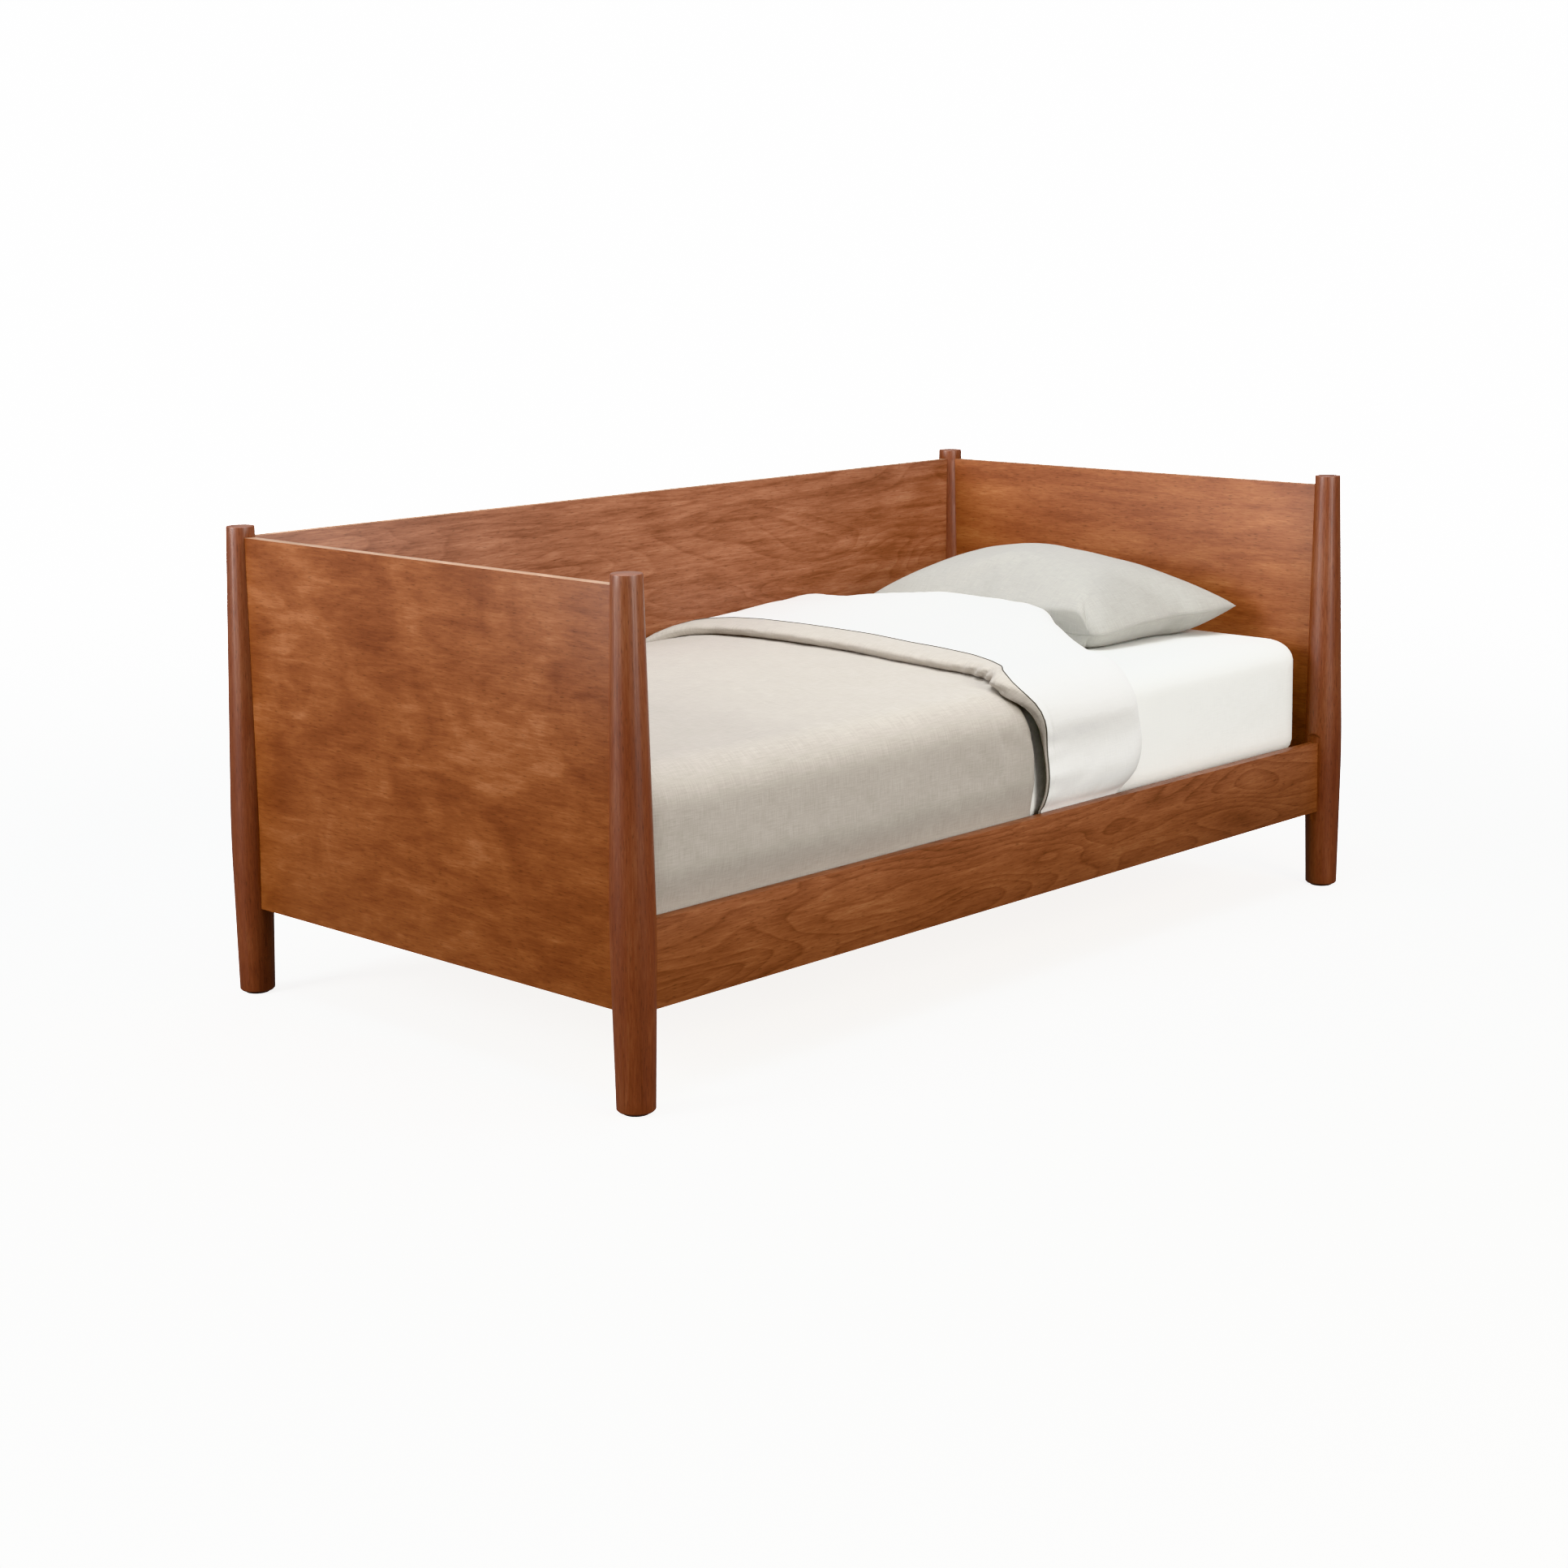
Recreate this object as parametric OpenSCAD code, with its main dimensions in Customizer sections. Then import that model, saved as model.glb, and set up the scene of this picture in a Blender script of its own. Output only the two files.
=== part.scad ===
// Twin daybed: four turned posts, three flat panels, a low front rail, a slatted base and its bedding.
// +X runs towards the head end, -Y is the open front and +Z is up. The origin is on the floor, in the middle.

/* [Mattress] */
// Length of the mattress
mattress_l = 1905; // [1500:5:2300]
// Width of the mattress
mattress_w = 965; // [780:5:1200]
// Thickness of the mattress
mattress_h = 250; // [150:5:310]
// Radius of the mattress's long and short edges
mattress_edge_r = 42; // [20:1:60]
// Radius of the mattress's corners, seen from above
mattress_corner_r = 60; // [30:5:120]
// Gap between the mattress and each end panel
end_gap = 24; // [8:1:60]
// Gap between the mattress and the front rail
side_gap = 15; // [12:0.5:40]

/* [Posts] */
// Overall height of the bed
bed_h = 864; // [700:1:1100]
// Radius of a post at its top
post_top_r = 26; // [24:0.5:32]
// Radius of a post where its two tapers would meet
post_wide_r = 38; // [34:0.5:46]
// Radius of a post at its foot
post_foot_r = 32; // [26:0.5:38]
// Height at which the two tapers meet
post_wide_z = 300; // [240:5:360]
// Half height of the soft blend between the two tapers
post_blend = 60; // [20:5:80]
// Round-over on the top edge of a post
post_round = 2; // [1:0.5:5]
// Chamfer on the bottom edge of a post
post_chamfer = 3; // [1:0.5:6]
// How far a post stands above the panels
post_reveal = 20; // [10:1:60]

/* [Panels and rail] */
// Thickness of the foot, head and back panels
panel_t = 20; // [16:0.5:24]
// Thickness of the front rail
rail_t = 22; // [19:0.5:26]
// Height of the front rail
rail_h = 145; // [120:1:175]
// Height of the lower edge of the rail and the panels above the floor
rail_z = 162; // [130:1:195]
// How far the outer face of each board lies outboard of the post centres
board_out = 9; // [7:0.5:11]
// How far the end panels' ends stop short of the post centres
panel_inset = 14; // [13:0.5:18]
// How far the back panel's ends stop short of the end panels' inner faces
corner_gap = 3; // [2:0.5:6]
// Distance from a front post's centre to the flat that the rail seats on
seat_d = 34; // [29:0.5:36]
// Radius of the arched ends of the rail's seat
seat_r = 19; // [17:0.5:22]
// Gap all round a board that is housed in a groove
groove_gap = 0.2; // [0.1:0.05:0.5]

/* [Slatted base] */
// Number of slats
slat_count = 13; // [8:1:16]
// Width of a slat
slat_w = 70; // [50:1:85]
// Thickness of a slat
slat_t = 18; // [14:0.5:22]
// Gap between a slat's ends and the boards beside it
slat_gap = 2; // [1:0.5:6]
// Width of a ledger
ledger_w = 22; // [18:0.5:30]
// Height of a ledger
ledger_h = 38; // [30:1:46]
// Height of the ledger's lower edge above the rail's lower edge
ledger_rise = 54; // [48:1:66]
// Gap between a ledger's ends and the posts
ledger_end_gap = 8; // [4:1:40]

/* [Fixings] */
// Radius of the bed bolts' studs
stud_r = 4; // [3:0.5:5]
// Radius of a threaded insert
insert_r = 6.5; // [6:0.5:7.5]
// Length of a threaded insert
insert_l = 14; // [10:1:16]
// Depth of a nut pocket's flat wall from the end of its board
pocket_set = 35; // [28:1:50]
// Radius of a nut pocket
pocket_r = 17; // [15:0.5:19]
// Wood left between a nut pocket and the show face
pocket_skin = 3; // [2:0.5:4]
// Height of the lowest studs above the rail's lower edge, and of the next ones below its top
stud_edge = 30; // [24:1:34]
// Height of the back panel's third studs above the floor
stud_high_z = 450; // [400:5:560]
// Thickness of a half-moon washer
washer_t = 3; // [2:0.5:4]
// Width of a nut across its flats
nut_af = 13; // [11:0.5:14]
// Thickness of a nut
nut_t = 6.5; // [5:0.5:8]
// How far a stud passes its nut
stud_proud = 3; // [1:0.5:5]
// Radius of a dowel
dowel_r = 4; // [3:0.5:5]
// Length of a dowel, half in each piece
dowel_l = 36; // [24:1:40]
// Number of dowels in each end of an end panel
dowel_count = 3; // [2:1:4]
// Radius of a wood screw's shank
screw_r = 2; // [1.5:0.25:2.5]
// Radius of a wood screw's head
screw_head_r = 4; // [3.5:0.25:5]
// Thickness of a wood screw's head
screw_head_t = 3; // [2:0.5:4]
// Grip of a wood screw in the piece it bites into
screw_bite = 15; // [10:1:18]
// Number of screws in each ledger
ledger_screw_count = 6; // [3:1:7]
// Radial gap round every fixing
fix_gap = 0.05; // [0.02:0.01:0.1]
// Height of a glide under a post
glide_h = 4; // [3:0.5:6]
// Radius of a glide
glide_r = 22; // [16:0.5:25]
// Radius of the peg on a glide
glide_peg_r = 4; // [3:0.5:6]
// Length of the peg on a glide
glide_peg_l = 14; // [8:1:20]

/* [Bedding] */
// Thickness of the fitted sheet
sheet_t = 1.2; // [0.8:0.1:2]
// How far the fitted sheet turns under the mattress
sheet_hem = 60; // [30:5:100]
// Gap between the fitted sheet and the mattress
sheet_gap = 0.2; // [0.1:0.05:0.5]
// Gap between bedding pieces that lie on each other
rest_gap = 0.4; // [0.3:0.1:2]
// Loft of the duvet on top of the mattress
duvet_loft = 22; // [12:1:60]
// Gap between the tucked front of the duvet and the rail
tuck_gap = 3; // [2:0.5:5]
// How far the front of the duvet tucks down behind the rail
tuck_depth = 25; // [5:1:28]
// Thickness of the duvet where it hangs over the mattress above the rail
drop_t = 26; // [15:1:40]
// How far the back of the duvet tucks down behind the mattress
back_tuck = 80; // [20:5:140]
// Gap along the bed between the foot posts and the duvet
duvet_end_gap = 3; // [2:1:60]
// Distance from the head panel to the duvet's fold
fold_set = 495; // [495:5:720]
// Length of the duvet's turned-back part
flap_l = 395; // [200:5:420]
// Loft of the turned-back part
flap_loft = 60; // [15:1:80]
// Length of the pillow, across the bed
pillow_l = 660; // [500:5:750]
// Width of the pillow, along the bed
pillow_w = 440; // [380:5:480]
// Height of the plumped pillow
pillow_h = 185; // [100:5:200]
// Radius of the pillow's corners
pillow_corner_r = 14; // [8:1:20]
// Distance from the head panel to the pillow
pillow_set = 45; // [10:1:55]

/* [Hidden] */
$fn = 64;
SOFT_FN = 32;
HEX_FN = 6;
BLEND_STEPS = 8;
ARC_STEPS = 4;
OVER = 1;
SIDES = [-1, 1];

board_in_panel = panel_t - board_out;
board_in_rail = rail_t - board_out;
back_inset = board_in_panel + corner_gap;
post_x = mattress_l / 2 + end_gap + board_in_panel;
post_y = mattress_w / 2 + side_gap + board_in_rail;
panel_top = bed_h - post_reveal;
rail_top = rail_z + rail_h;
rail_mid = board_out - rail_t / 2;
panel_mid = board_out - panel_t / 2;
rail_face = post_y - board_in_rail;
back_face = post_y - board_in_panel;
end_face = post_x - board_in_panel;
rail_half = post_x - seat_d - groove_gap;

ledger_z = rail_z + ledger_rise;
ledger_top = ledger_z + ledger_h;
ledger_half = post_x - post_wide_r - ledger_end_gap;
slat_top = ledger_top + slat_t;
slat_x0 = ledger_half - slat_w / 2;
slat_step = 2 * slat_x0 / (slat_count - 1);
slat_y0 = -rail_face + slat_gap;
slat_y1 = back_face - slat_gap;
rail_stud_zs = [rail_z + stud_edge, rail_top - stud_edge];
back_stud_zs = concat(rail_stud_zs, [stud_high_z]);
dowel_rise = 60;
dowel_span = panel_top - rail_z - 2 * dowel_rise;

sheet_z = slat_top + rest_gap;
mattress_z = sheet_z + sheet_t + sheet_gap;
sheet_out = sheet_t + sheet_gap;
sheet_top = mattress_z + mattress_h + sheet_out;
sheet_y = mattress_w / 2 + sheet_out;

duvet_z = sheet_top + rest_gap;
duvet_in = sheet_y + rest_gap;
duvet_tuck_y = rail_face - tuck_gap;
duvet_drop_y = duvet_in + drop_t;
duvet_back_y = back_face - tuck_gap;
duvet_x0 = post_wide_r + duvet_end_gap - post_x;
fold_x = end_face - fold_set;
tuck_top = rail_top + 6;
duvet_edge_r = drop_t;
pillow_x1 = end_face - pillow_set;
pillow_mid_x = pillow_x1 - pillow_w / 2;
pillow_z = sheet_top + rest_gap;
pillow_rim_z = pillow_z + pillow_h * 0.3;

WOOD = "#8a4a28";
VENEER = "#9a5530";
PINE = "#d8b98a";
STEEL = "#b9bcc0";
WHITE = "#f2f2f0";
GREIGE = "#bdb4a8";
GREY = "#c9c7c1";
BLACK = "#2a2a2a";

SLATS = [for (i = [1:slat_count]) str("slat_", i < 10 ? "0" : "", i)];

// ---- shared shapes ----

// A cylinder along X from x0 to x1
module rod_x(x0, x1, r, fn = $fn) {
    translate([min(x0, x1), 0, 0])
        rotate([0, 90, 0])
            cylinder(h = abs(x1 - x0), r = r, $fn = fn);
}

// A cylinder along Y from y0 to y1
module rod_y(y0, y1, r) {
    translate([0, min(y0, y1), 0])
        rotate([-90, 0, 0])
            cylinder(h = abs(y1 - y0), r = r);
}

// A box between two corners
module box(a, b) {
    translate([min(a.x, b.x), min(a.y, b.y), min(a.z, b.z)])
        cube([abs(b.x - a.x), abs(b.y - a.y), abs(b.z - a.z)]);
}

// Radius of the straight tapers at height z, as if they met in a sharp line
function taper(z) = z < post_wide_z
    ? post_foot_r + (post_wide_r - post_foot_r) * z / post_wide_z
    : post_wide_r + (post_top_r - post_wide_r) * (z - post_wide_z) / (bed_h - post_wide_z);

// The soft widest line: a curve that leaves one taper and joins the other
function blend(t) = let (
    a = [taper(post_wide_z - post_blend), post_wide_z - post_blend],
    b = [post_wide_r, post_wide_z],
    c = [taper(post_wide_z + post_blend), post_wide_z + post_blend])
    (1 - t) * (1 - t) * a + 2 * t * (1 - t) * b + t * t * c;

module post_turning() {
    rotate_extrude()
        polygon(concat(
            [[0, glide_h], [post_foot_r - post_chamfer, glide_h], [post_foot_r, glide_h + post_chamfer]],
            [for (i = [0:BLEND_STEPS]) blend(i / BLEND_STEPS)],
            [for (i = [0:ARC_STEPS]) let (a = 90 * i / ARC_STEPS)
                [post_top_r - post_round * (1 - cos(a)), bed_h - post_round * (1 - sin(a))]],
            [[0, bed_h]]));
}

// ---- joints cut in the posts; sx and sy are the signs of the post's place ----

// Groove for an end panel, on the side that faces the other post of that end
module end_groove(sx, sy) {
    box([sx * (board_out + groove_gap), -sy * (panel_inset - groove_gap), rail_z - groove_gap],
        [-sx * (board_in_panel + groove_gap), -sy * (post_wide_r + OVER), panel_top + groove_gap]);
}

// Groove for the back panel, on the side that faces the other back post
module back_groove(sx) {
    box([-sx * (back_inset - groove_gap), board_out + groove_gap, rail_z - groove_gap],
        [-sx * (post_wide_r + OVER), -board_in_panel - groove_gap, panel_top + groove_gap]);
}

// Flat with arched ends that the front rail butts against
module rail_seat(sx) {
    translate([-sx * (seat_d + post_wide_r), 0, 0])
        rotate([90, 0, 90])
            translate([0, 0, -post_wide_r])
                linear_extrude(2 * post_wide_r) {
                    translate([-seat_r, rail_z])
                        square([2 * seat_r, rail_h]);
                    for (z = [rail_z, rail_top])
                        translate([0, z])
                            circle(seat_r);
                }
}

function dowel_zs() = [for (i = [0:dowel_count - 1])
    rail_z + dowel_rise + dowel_span * i / (dowel_count - 1)];

// Dowels of one end panel, at both of its ends, or their holes when gap is added
module dowels(sx, gap = 0) {
    for (sy = SIDES, z = dowel_zs())
        translate([sx * (post_x + panel_mid), 0, z])
            rod_y(sy * (post_y - panel_inset - dowel_l / 2 - gap),
                  sy * (post_y - panel_inset + dowel_l / 2 + gap), dowel_r + gap);
}

// Inserts in the pair of posts that hold a board; seat is the board end's distance from the post centre
module inserts(y, seat, zs, gap = 0) {
    for (sx = SIDES, z = zs)
        translate([0, y, z])
            rod_x(sx * (post_x - seat), sx * (post_x - seat + insert_l + gap), insert_r + gap);
}

module insert_set(y, seat, zs) {
    difference() {
        inserts(y, seat, zs);
        for (sx = SIDES, z = zs)
            translate([0, y, z])
                rod_x(sx * (post_x - seat - OVER), sx * (post_x + OVER), stud_r + fix_gap);
    }
}

// Studs from the inserts to the nut pockets
stud_in = pocket_set + washer_t + nut_t + stud_proud;
module studs(y, seat, zs, gap = 0) {
    for (sx = SIDES, z = zs)
        translate([0, y, z])
            rod_x(sx * (post_x - seat + insert_l), sx * (post_x - seat - stud_in), stud_r + gap);
}

// D-shaped nut pocket, open on the inner face at y1; the flat wall is nearest the board's end
module pockets(y, y1, seat, zs) {
    for (sx = SIDES, z = zs)
        translate([sx * (post_x - seat - groove_gap - pocket_set), y, z])
            intersection() {
                rod_y(0, y1 - y, pocket_r);
                box([0, -pocket_r * 2, -pocket_r], [-sx * pocket_r, pocket_r * 2, pocket_r]);
            }
}

// Half-moon washers that lie on the flat walls of the pockets
module washers(y, up, seat, zs) {
    for (sx = SIDES, z = zs)
        translate([sx * (post_x - seat - groove_gap - pocket_set), y, z])
            difference() {
                intersection() {
                    rod_x(0, -sx * washer_t, pocket_r - OVER);
                    box([0, -up * nut_af / 2, -pocket_r], [-sx * washer_t, up * nut_af / 2, pocket_r]);
                }
                rod_x(sx * OVER, -sx * (washer_t + OVER), stud_r + fix_gap);
            }
}

module nuts(y, seat, zs) {
    for (sx = SIDES, z = zs)
        translate([sx * (post_x - seat - groove_gap - pocket_set - washer_t), y, z])
            difference() {
                rod_x(0, -sx * nut_t, nut_af / 2 / cos(180 / HEX_FN), HEX_FN);
                rod_x(sx * OVER, -sx * (nut_t + OVER), stud_r + fix_gap);
            }
}

// Holes in a board's ends for its studs
module stud_holes(y, seat, zs) {
    for (sx = SIDES, z = zs)
        translate([0, y, z])
            rod_x(sx * (post_x - seat + OVER), sx * (post_x - seat - groove_gap - pocket_set - OVER),
                  stud_r + 0.5);
}

rail_y = -(post_y + rail_mid);
back_y = post_y + panel_mid;

// ---- glides ----

module glide_peg(gap = 0) {
    cylinder(h = glide_h + glide_peg_l + gap, r = glide_peg_r + gap);
}

module glide(sx, sy) {
    color(BLACK)
        translate([sx * post_x, sy * post_y, 0]) {
            cylinder(h = glide_h, r = glide_r);
            glide_peg();
        }
}

// ---- posts ----

module front_post(sx) {
    color(WOOD)
        difference() {
            translate([sx * post_x, -post_y, 0])
                difference() {
                    post_turning();
                    end_groove(sx, -1);
                    rail_seat(sx);
                    glide_peg(fix_gap);
                }
            dowels(sx, fix_gap);
            inserts(rail_y, seat_d, rail_stud_zs, fix_gap);
        }
}

module back_post(sx) {
    color(WOOD)
        difference() {
            translate([sx * post_x, post_y, 0])
                difference() {
                    post_turning();
                    end_groove(sx, 1);
                    back_groove(sx);
                    glide_peg(fix_gap);
                }
            dowels(sx, fix_gap);
            inserts(back_y, back_inset, back_stud_zs, fix_gap);
        }
}

// ---- boards ----

module end_panel(sx) {
    color(VENEER)
        difference() {
            box([sx * (post_x + board_out), -post_y + panel_inset, rail_z],
                [sx * (post_x - board_in_panel), post_y - panel_inset, panel_top]);
            dowels(sx, fix_gap);
        }
}

module back_panel() {
    color(VENEER)
        difference() {
            box([-post_x + back_inset + groove_gap, post_y + board_out, rail_z],
                [post_x - back_inset - groove_gap, back_face, panel_top]);
            stud_holes(back_y, back_inset, back_stud_zs);
            pockets(post_y + board_out - pocket_skin, back_face - OVER, back_inset, back_stud_zs);
            ledger_screws(back_face, 1, fix_gap);
        }
}

module front_rail() {
    color(VENEER)
        difference() {
            box([-rail_half, -post_y - board_out, rail_z], [rail_half, -rail_face, rail_top]);
            stud_holes(rail_y, seat_d, rail_stud_zs);
            pockets(-post_y - board_out + pocket_skin, -rail_face + OVER, seat_d, rail_stud_zs);
            ledger_screws(-rail_face, -1, fix_gap);
        }
}

// ---- slatted base ----

function slat_x(i) = -slat_x0 + slat_step * i;
function ledger_screw_xs() = [for (i = [0:ledger_screw_count - 1])
    slat_x(round((slat_count - 2) * i / (ledger_screw_count - 1))) + slat_step / 2];

// A screw along Z, its head's top at the origin, that points down
module screw(grip, gap = 0) {
    translate([0, 0, -grip - gap])
        cylinder(h = grip, r = screw_r + gap);
    translate([0, 0, -screw_head_t - gap])
        cylinder(h = screw_head_t + gap, r = screw_head_r + gap);
}

// Screws through a ledger into the board behind it; face is the board's inner face, sy its side
module ledger_screws(face, sy, gap = 0) {
    for (x = ledger_screw_xs())
        translate([x, face - sy * ledger_w, ledger_z + ledger_h / 2])
            rotate([sy * 90, 0, 0])
                screw(ledger_w + screw_bite, gap);
}

module slat_screws_at(x, gap = 0) {
    for (y = [-rail_face + ledger_w / 2, back_face - ledger_w / 2])
        translate([x, y, slat_top])
            screw(slat_t + screw_bite, gap);
}

module ledger(face, sy) {
    color(PINE)
        difference() {
            box([-ledger_half, face, ledger_z], [ledger_half, face - sy * ledger_w, ledger_top]);
            ledger_screws(face, sy, fix_gap);
            for (i = [0:slat_count - 1])
                slat_screws_at(slat_x(i), fix_gap);
        }
}

module slat(i) {
    color(PINE)
        difference() {
            box([slat_x(i) - slat_w / 2, slat_y0, ledger_top], [slat_x(i) + slat_w / 2, slat_y1, slat_top]);
            slat_screws_at(slat_x(i), fix_gap);
        }
}

// ---- bedding ----

// A flat outline l by w with its corners rounded to radius r, centred
module rounded(l, w, r) {
    square([l - 2 * r, w], center = true);
    square([l, w - 2 * r], center = true);
    for (x = SIDES, y = SIDES)
        translate([x * (l / 2 - r), y * (w / 2 - r)])
            circle(r);
}

// A slab l by w by h, standing on z = 0: rounded in plan, and along all its top and bottom edges
module soft_slab(l, w, h, plan_r, edge_r) {
    intersection() {
        linear_extrude(h)
            rounded(l, w, plan_r);
        translate([0, w / 2, h / 2])
            rotate([90, 0, 0])
                linear_extrude(w)
                    rounded(l, h, edge_r);
        translate([-l / 2, 0, h / 2])
            rotate([90, 0, 90])
                linear_extrude(l)
                    rounded(w, h, edge_r);
    }
}

// The mattress's slab, grown by g all round
module mattress_slab(g = 0) {
    translate([0, 0, mattress_z - g])
        soft_slab(mattress_l + 2 * g, mattress_w + 2 * g, mattress_h + 2 * g,
                  mattress_corner_r + g, mattress_edge_r + g);
}

module mattress() {
    color(WHITE)
        mattress_slab();
}

module fitted_sheet() {
    color(WHITE)
        difference() {
            mattress_slab(sheet_out);
            mattress_slab(sheet_gap);
            box([sheet_hem - mattress_l / 2, sheet_hem - mattress_w / 2, slat_top],
                [mattress_l / 2 - sheet_hem, mattress_w / 2 - sheet_hem, mattress_z + sheet_gap]);
        }
}

// Corner arc of the duvet's outline, round centre c, through the angles from a0 to a1
function arc(c, r, a0, a1) = [for (i = [0:BLEND_STEPS]) let (a = a0 + (a1 - a0) * i / BLEND_STEPS)
    c + r * [cos(a), sin(a)]];

// Outline of the duvet across the bed: front tuck, front drop, top and back tuck; grow adds loft
function duvet_outline(grow) = let (top = duvet_z + duvet_loft + grow, r = duvet_edge_r) concat(
    [[-duvet_in, rail_top - tuck_depth], [-duvet_tuck_y, rail_top - tuck_depth], [-duvet_tuck_y, tuck_top],
     [-duvet_drop_y - grow / 2, tuck_top + drop_t]],
    arc([-duvet_drop_y - grow / 2 + r, top - r], r, 180, 90),
    arc([duvet_back_y - r, top - r], r, 90, 0),
    [[duvet_back_y, duvet_z - back_tuck], [duvet_in, duvet_z - back_tuck], [duvet_in, duvet_z],
     [-duvet_in, duvet_z]]);

module duvet_length(x0, x1, grow) {
    translate([x0, 0, 0])
        rotate([90, 0, 90])
            linear_extrude(x1 - x0)
                polygon(duvet_outline(grow));
}

module duvet() {
    color(GREIGE) {
        duvet_length(duvet_x0, fold_x, 0);
        duvet_length(fold_x - flap_l, fold_x, flap_loft);
    }
}

module pillow() {
    color(GREY)
        translate([pillow_mid_x, 0, 0])
            hull() {
                for (x = SIDES, y = SIDES)
                    translate([x * (pillow_w / 2 - pillow_corner_r), y * (pillow_l / 2 - pillow_corner_r),
                               pillow_rim_z])
                        sphere(pillow_corner_r, $fn = SOFT_FN);
                translate([0, 0, pillow_z])
                    cylinder(h = pillow_h, r = pillow_w / 4, $fn = SOFT_FN);
                translate([0, 0, pillow_z])
                    cylinder(h = pillow_h * 0.6, r = pillow_w * 0.4, $fn = SOFT_FN);
            }
}

// ---- the nodes ----

front_post(-1);  // post_foot_front
back_post(-1);  // post_foot_back
front_post(1);  // post_head_front
back_post(1);  // post_head_back
end_panel(-1);  // foot_panel
end_panel(1);  // head_panel
back_panel();
front_rail();
ledger(-rail_face, -1);  // front_ledger
ledger(back_face, 1);  // back_ledger
for (i = [0:slat_count - 1])
    slat(i);
color(STEEL) insert_set(rail_y, seat_d, rail_stud_zs);  // rail_inserts
color(STEEL) studs(rail_y, seat_d, rail_stud_zs);  // rail_studs
color(STEEL) washers(rail_y, 1, seat_d, rail_stud_zs);  // rail_washers
color(STEEL) nuts(rail_y, seat_d, rail_stud_zs);  // rail_nuts
color(STEEL) insert_set(back_y, back_inset, back_stud_zs);  // back_inserts
color(STEEL) studs(back_y, back_inset, back_stud_zs);  // back_studs
color(STEEL) washers(back_y, -1, back_inset, back_stud_zs);  // back_washers
color(STEEL) nuts(back_y, back_inset, back_stud_zs);  // back_nuts
color(PINE) dowels(-1);  // foot_panel_dowels
color(PINE) dowels(1);  // head_panel_dowels
color(STEEL) ledger_screws(-rail_face, -1);  // front_ledger_screws
color(STEEL) ledger_screws(back_face, 1);  // back_ledger_screws
color(STEEL) for (i = [0:slat_count - 1]) slat_screws_at(slat_x(i));  // slat_screws
glide(-1, -1);  // glide_foot_front
glide(-1, 1);  // glide_foot_back
glide(1, -1);  // glide_head_front
glide(1, 1);  // glide_head_back
mattress();
fitted_sheet();
duvet();
pillow();
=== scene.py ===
# %% [markdown]
# # A twin daybed in stained wood, with its bedding
#
# The bed is a few plain boards held between four turned posts, so its looks rest on two things: the
# wood under its satin lacquer, and the softness of what lies on it. The CAD frame gives every size. This
# lesson copies the wooden parts so that their edges can be eased, builds the bedding as soft forms
# around the mattress, and gives every surface a material worked out from real thread and grain sizes.
#
# +X runs towards the head end, -Y is the open front and +Z is up. Everything is in metres.

# %% Load the CAD frame
import math

import bmesh
import bpy
import numpy as np
from mathutils import Euler, Matrix, Vector, noise


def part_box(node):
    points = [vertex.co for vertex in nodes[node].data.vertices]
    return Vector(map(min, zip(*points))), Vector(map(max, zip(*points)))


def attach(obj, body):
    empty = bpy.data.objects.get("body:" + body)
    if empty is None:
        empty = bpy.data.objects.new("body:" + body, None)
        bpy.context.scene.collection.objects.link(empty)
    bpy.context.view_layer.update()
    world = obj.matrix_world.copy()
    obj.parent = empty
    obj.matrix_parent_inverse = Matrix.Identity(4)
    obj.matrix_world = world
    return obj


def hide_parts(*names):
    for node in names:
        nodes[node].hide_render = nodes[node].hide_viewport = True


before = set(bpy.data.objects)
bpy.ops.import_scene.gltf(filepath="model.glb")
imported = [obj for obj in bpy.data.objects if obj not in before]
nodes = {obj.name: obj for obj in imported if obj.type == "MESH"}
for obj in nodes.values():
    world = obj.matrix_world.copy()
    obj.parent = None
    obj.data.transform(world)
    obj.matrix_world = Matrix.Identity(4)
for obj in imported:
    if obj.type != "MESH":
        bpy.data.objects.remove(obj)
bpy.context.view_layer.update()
MM = 0.001

# %% [markdown]
# ## Two small helpers for materials
#
# A material is a net of nodes. One function adds a node with its settings and its links, and one turns
# an sRGB hex colour, as picked on a screen, into the linear numbers that a shader works in.

# %% Helpers for colours and shader nodes
def srgb(code):
    """A hex colour as linear red, green, blue and alpha."""
    parts = [int(code[i:i + 2], 16) / 255 for i in (1, 3, 5)]
    linear = [c / 12.92 if c <= 0.04045 else ((c + 0.055) / 1.055) ** 2.4 for c in parts]
    return (*linear, 1.0)


def add(mat, kind, inputs=None, links=None, **settings):
    """Add one shader node. inputs holds plain values, links holds the sockets that feed it."""
    node = mat.node_tree.nodes.new("ShaderNode" + kind)
    for name, value in settings.items():
        setattr(node, name, value)
    for key, value in (inputs or {}).items():
        node.inputs[key].default_value = value
    for key, socket in (links or {}).items():
        mat.node_tree.links.new(socket, node.inputs[key])
    return node


def ramp_stops(node, stops):
    """Give a colour ramp its stops: (position, hex colour) pairs."""
    elements = node.color_ramp.elements
    while len(elements) < len(stops):
        elements.new(0.5)
    for element, (place, code) in zip(elements, stops):
        element.position = place
        element.color = srgb(code)
    return node


def new_material(name, **principled):
    """A material with a Principled shader whose uniform numbers are set on its own sockets."""
    mat = bpy.data.materials.new(name)
    mat.use_nodes = True
    mat.node_tree.nodes.clear()
    shader = add(mat, "BsdfPrincipled", {k.replace("_", " "): v for k, v in principled.items()})
    add(mat, "OutputMaterial", links={"Surface": shader.outputs["BSDF"]})
    return mat, shader


print("helpers ready")

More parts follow.
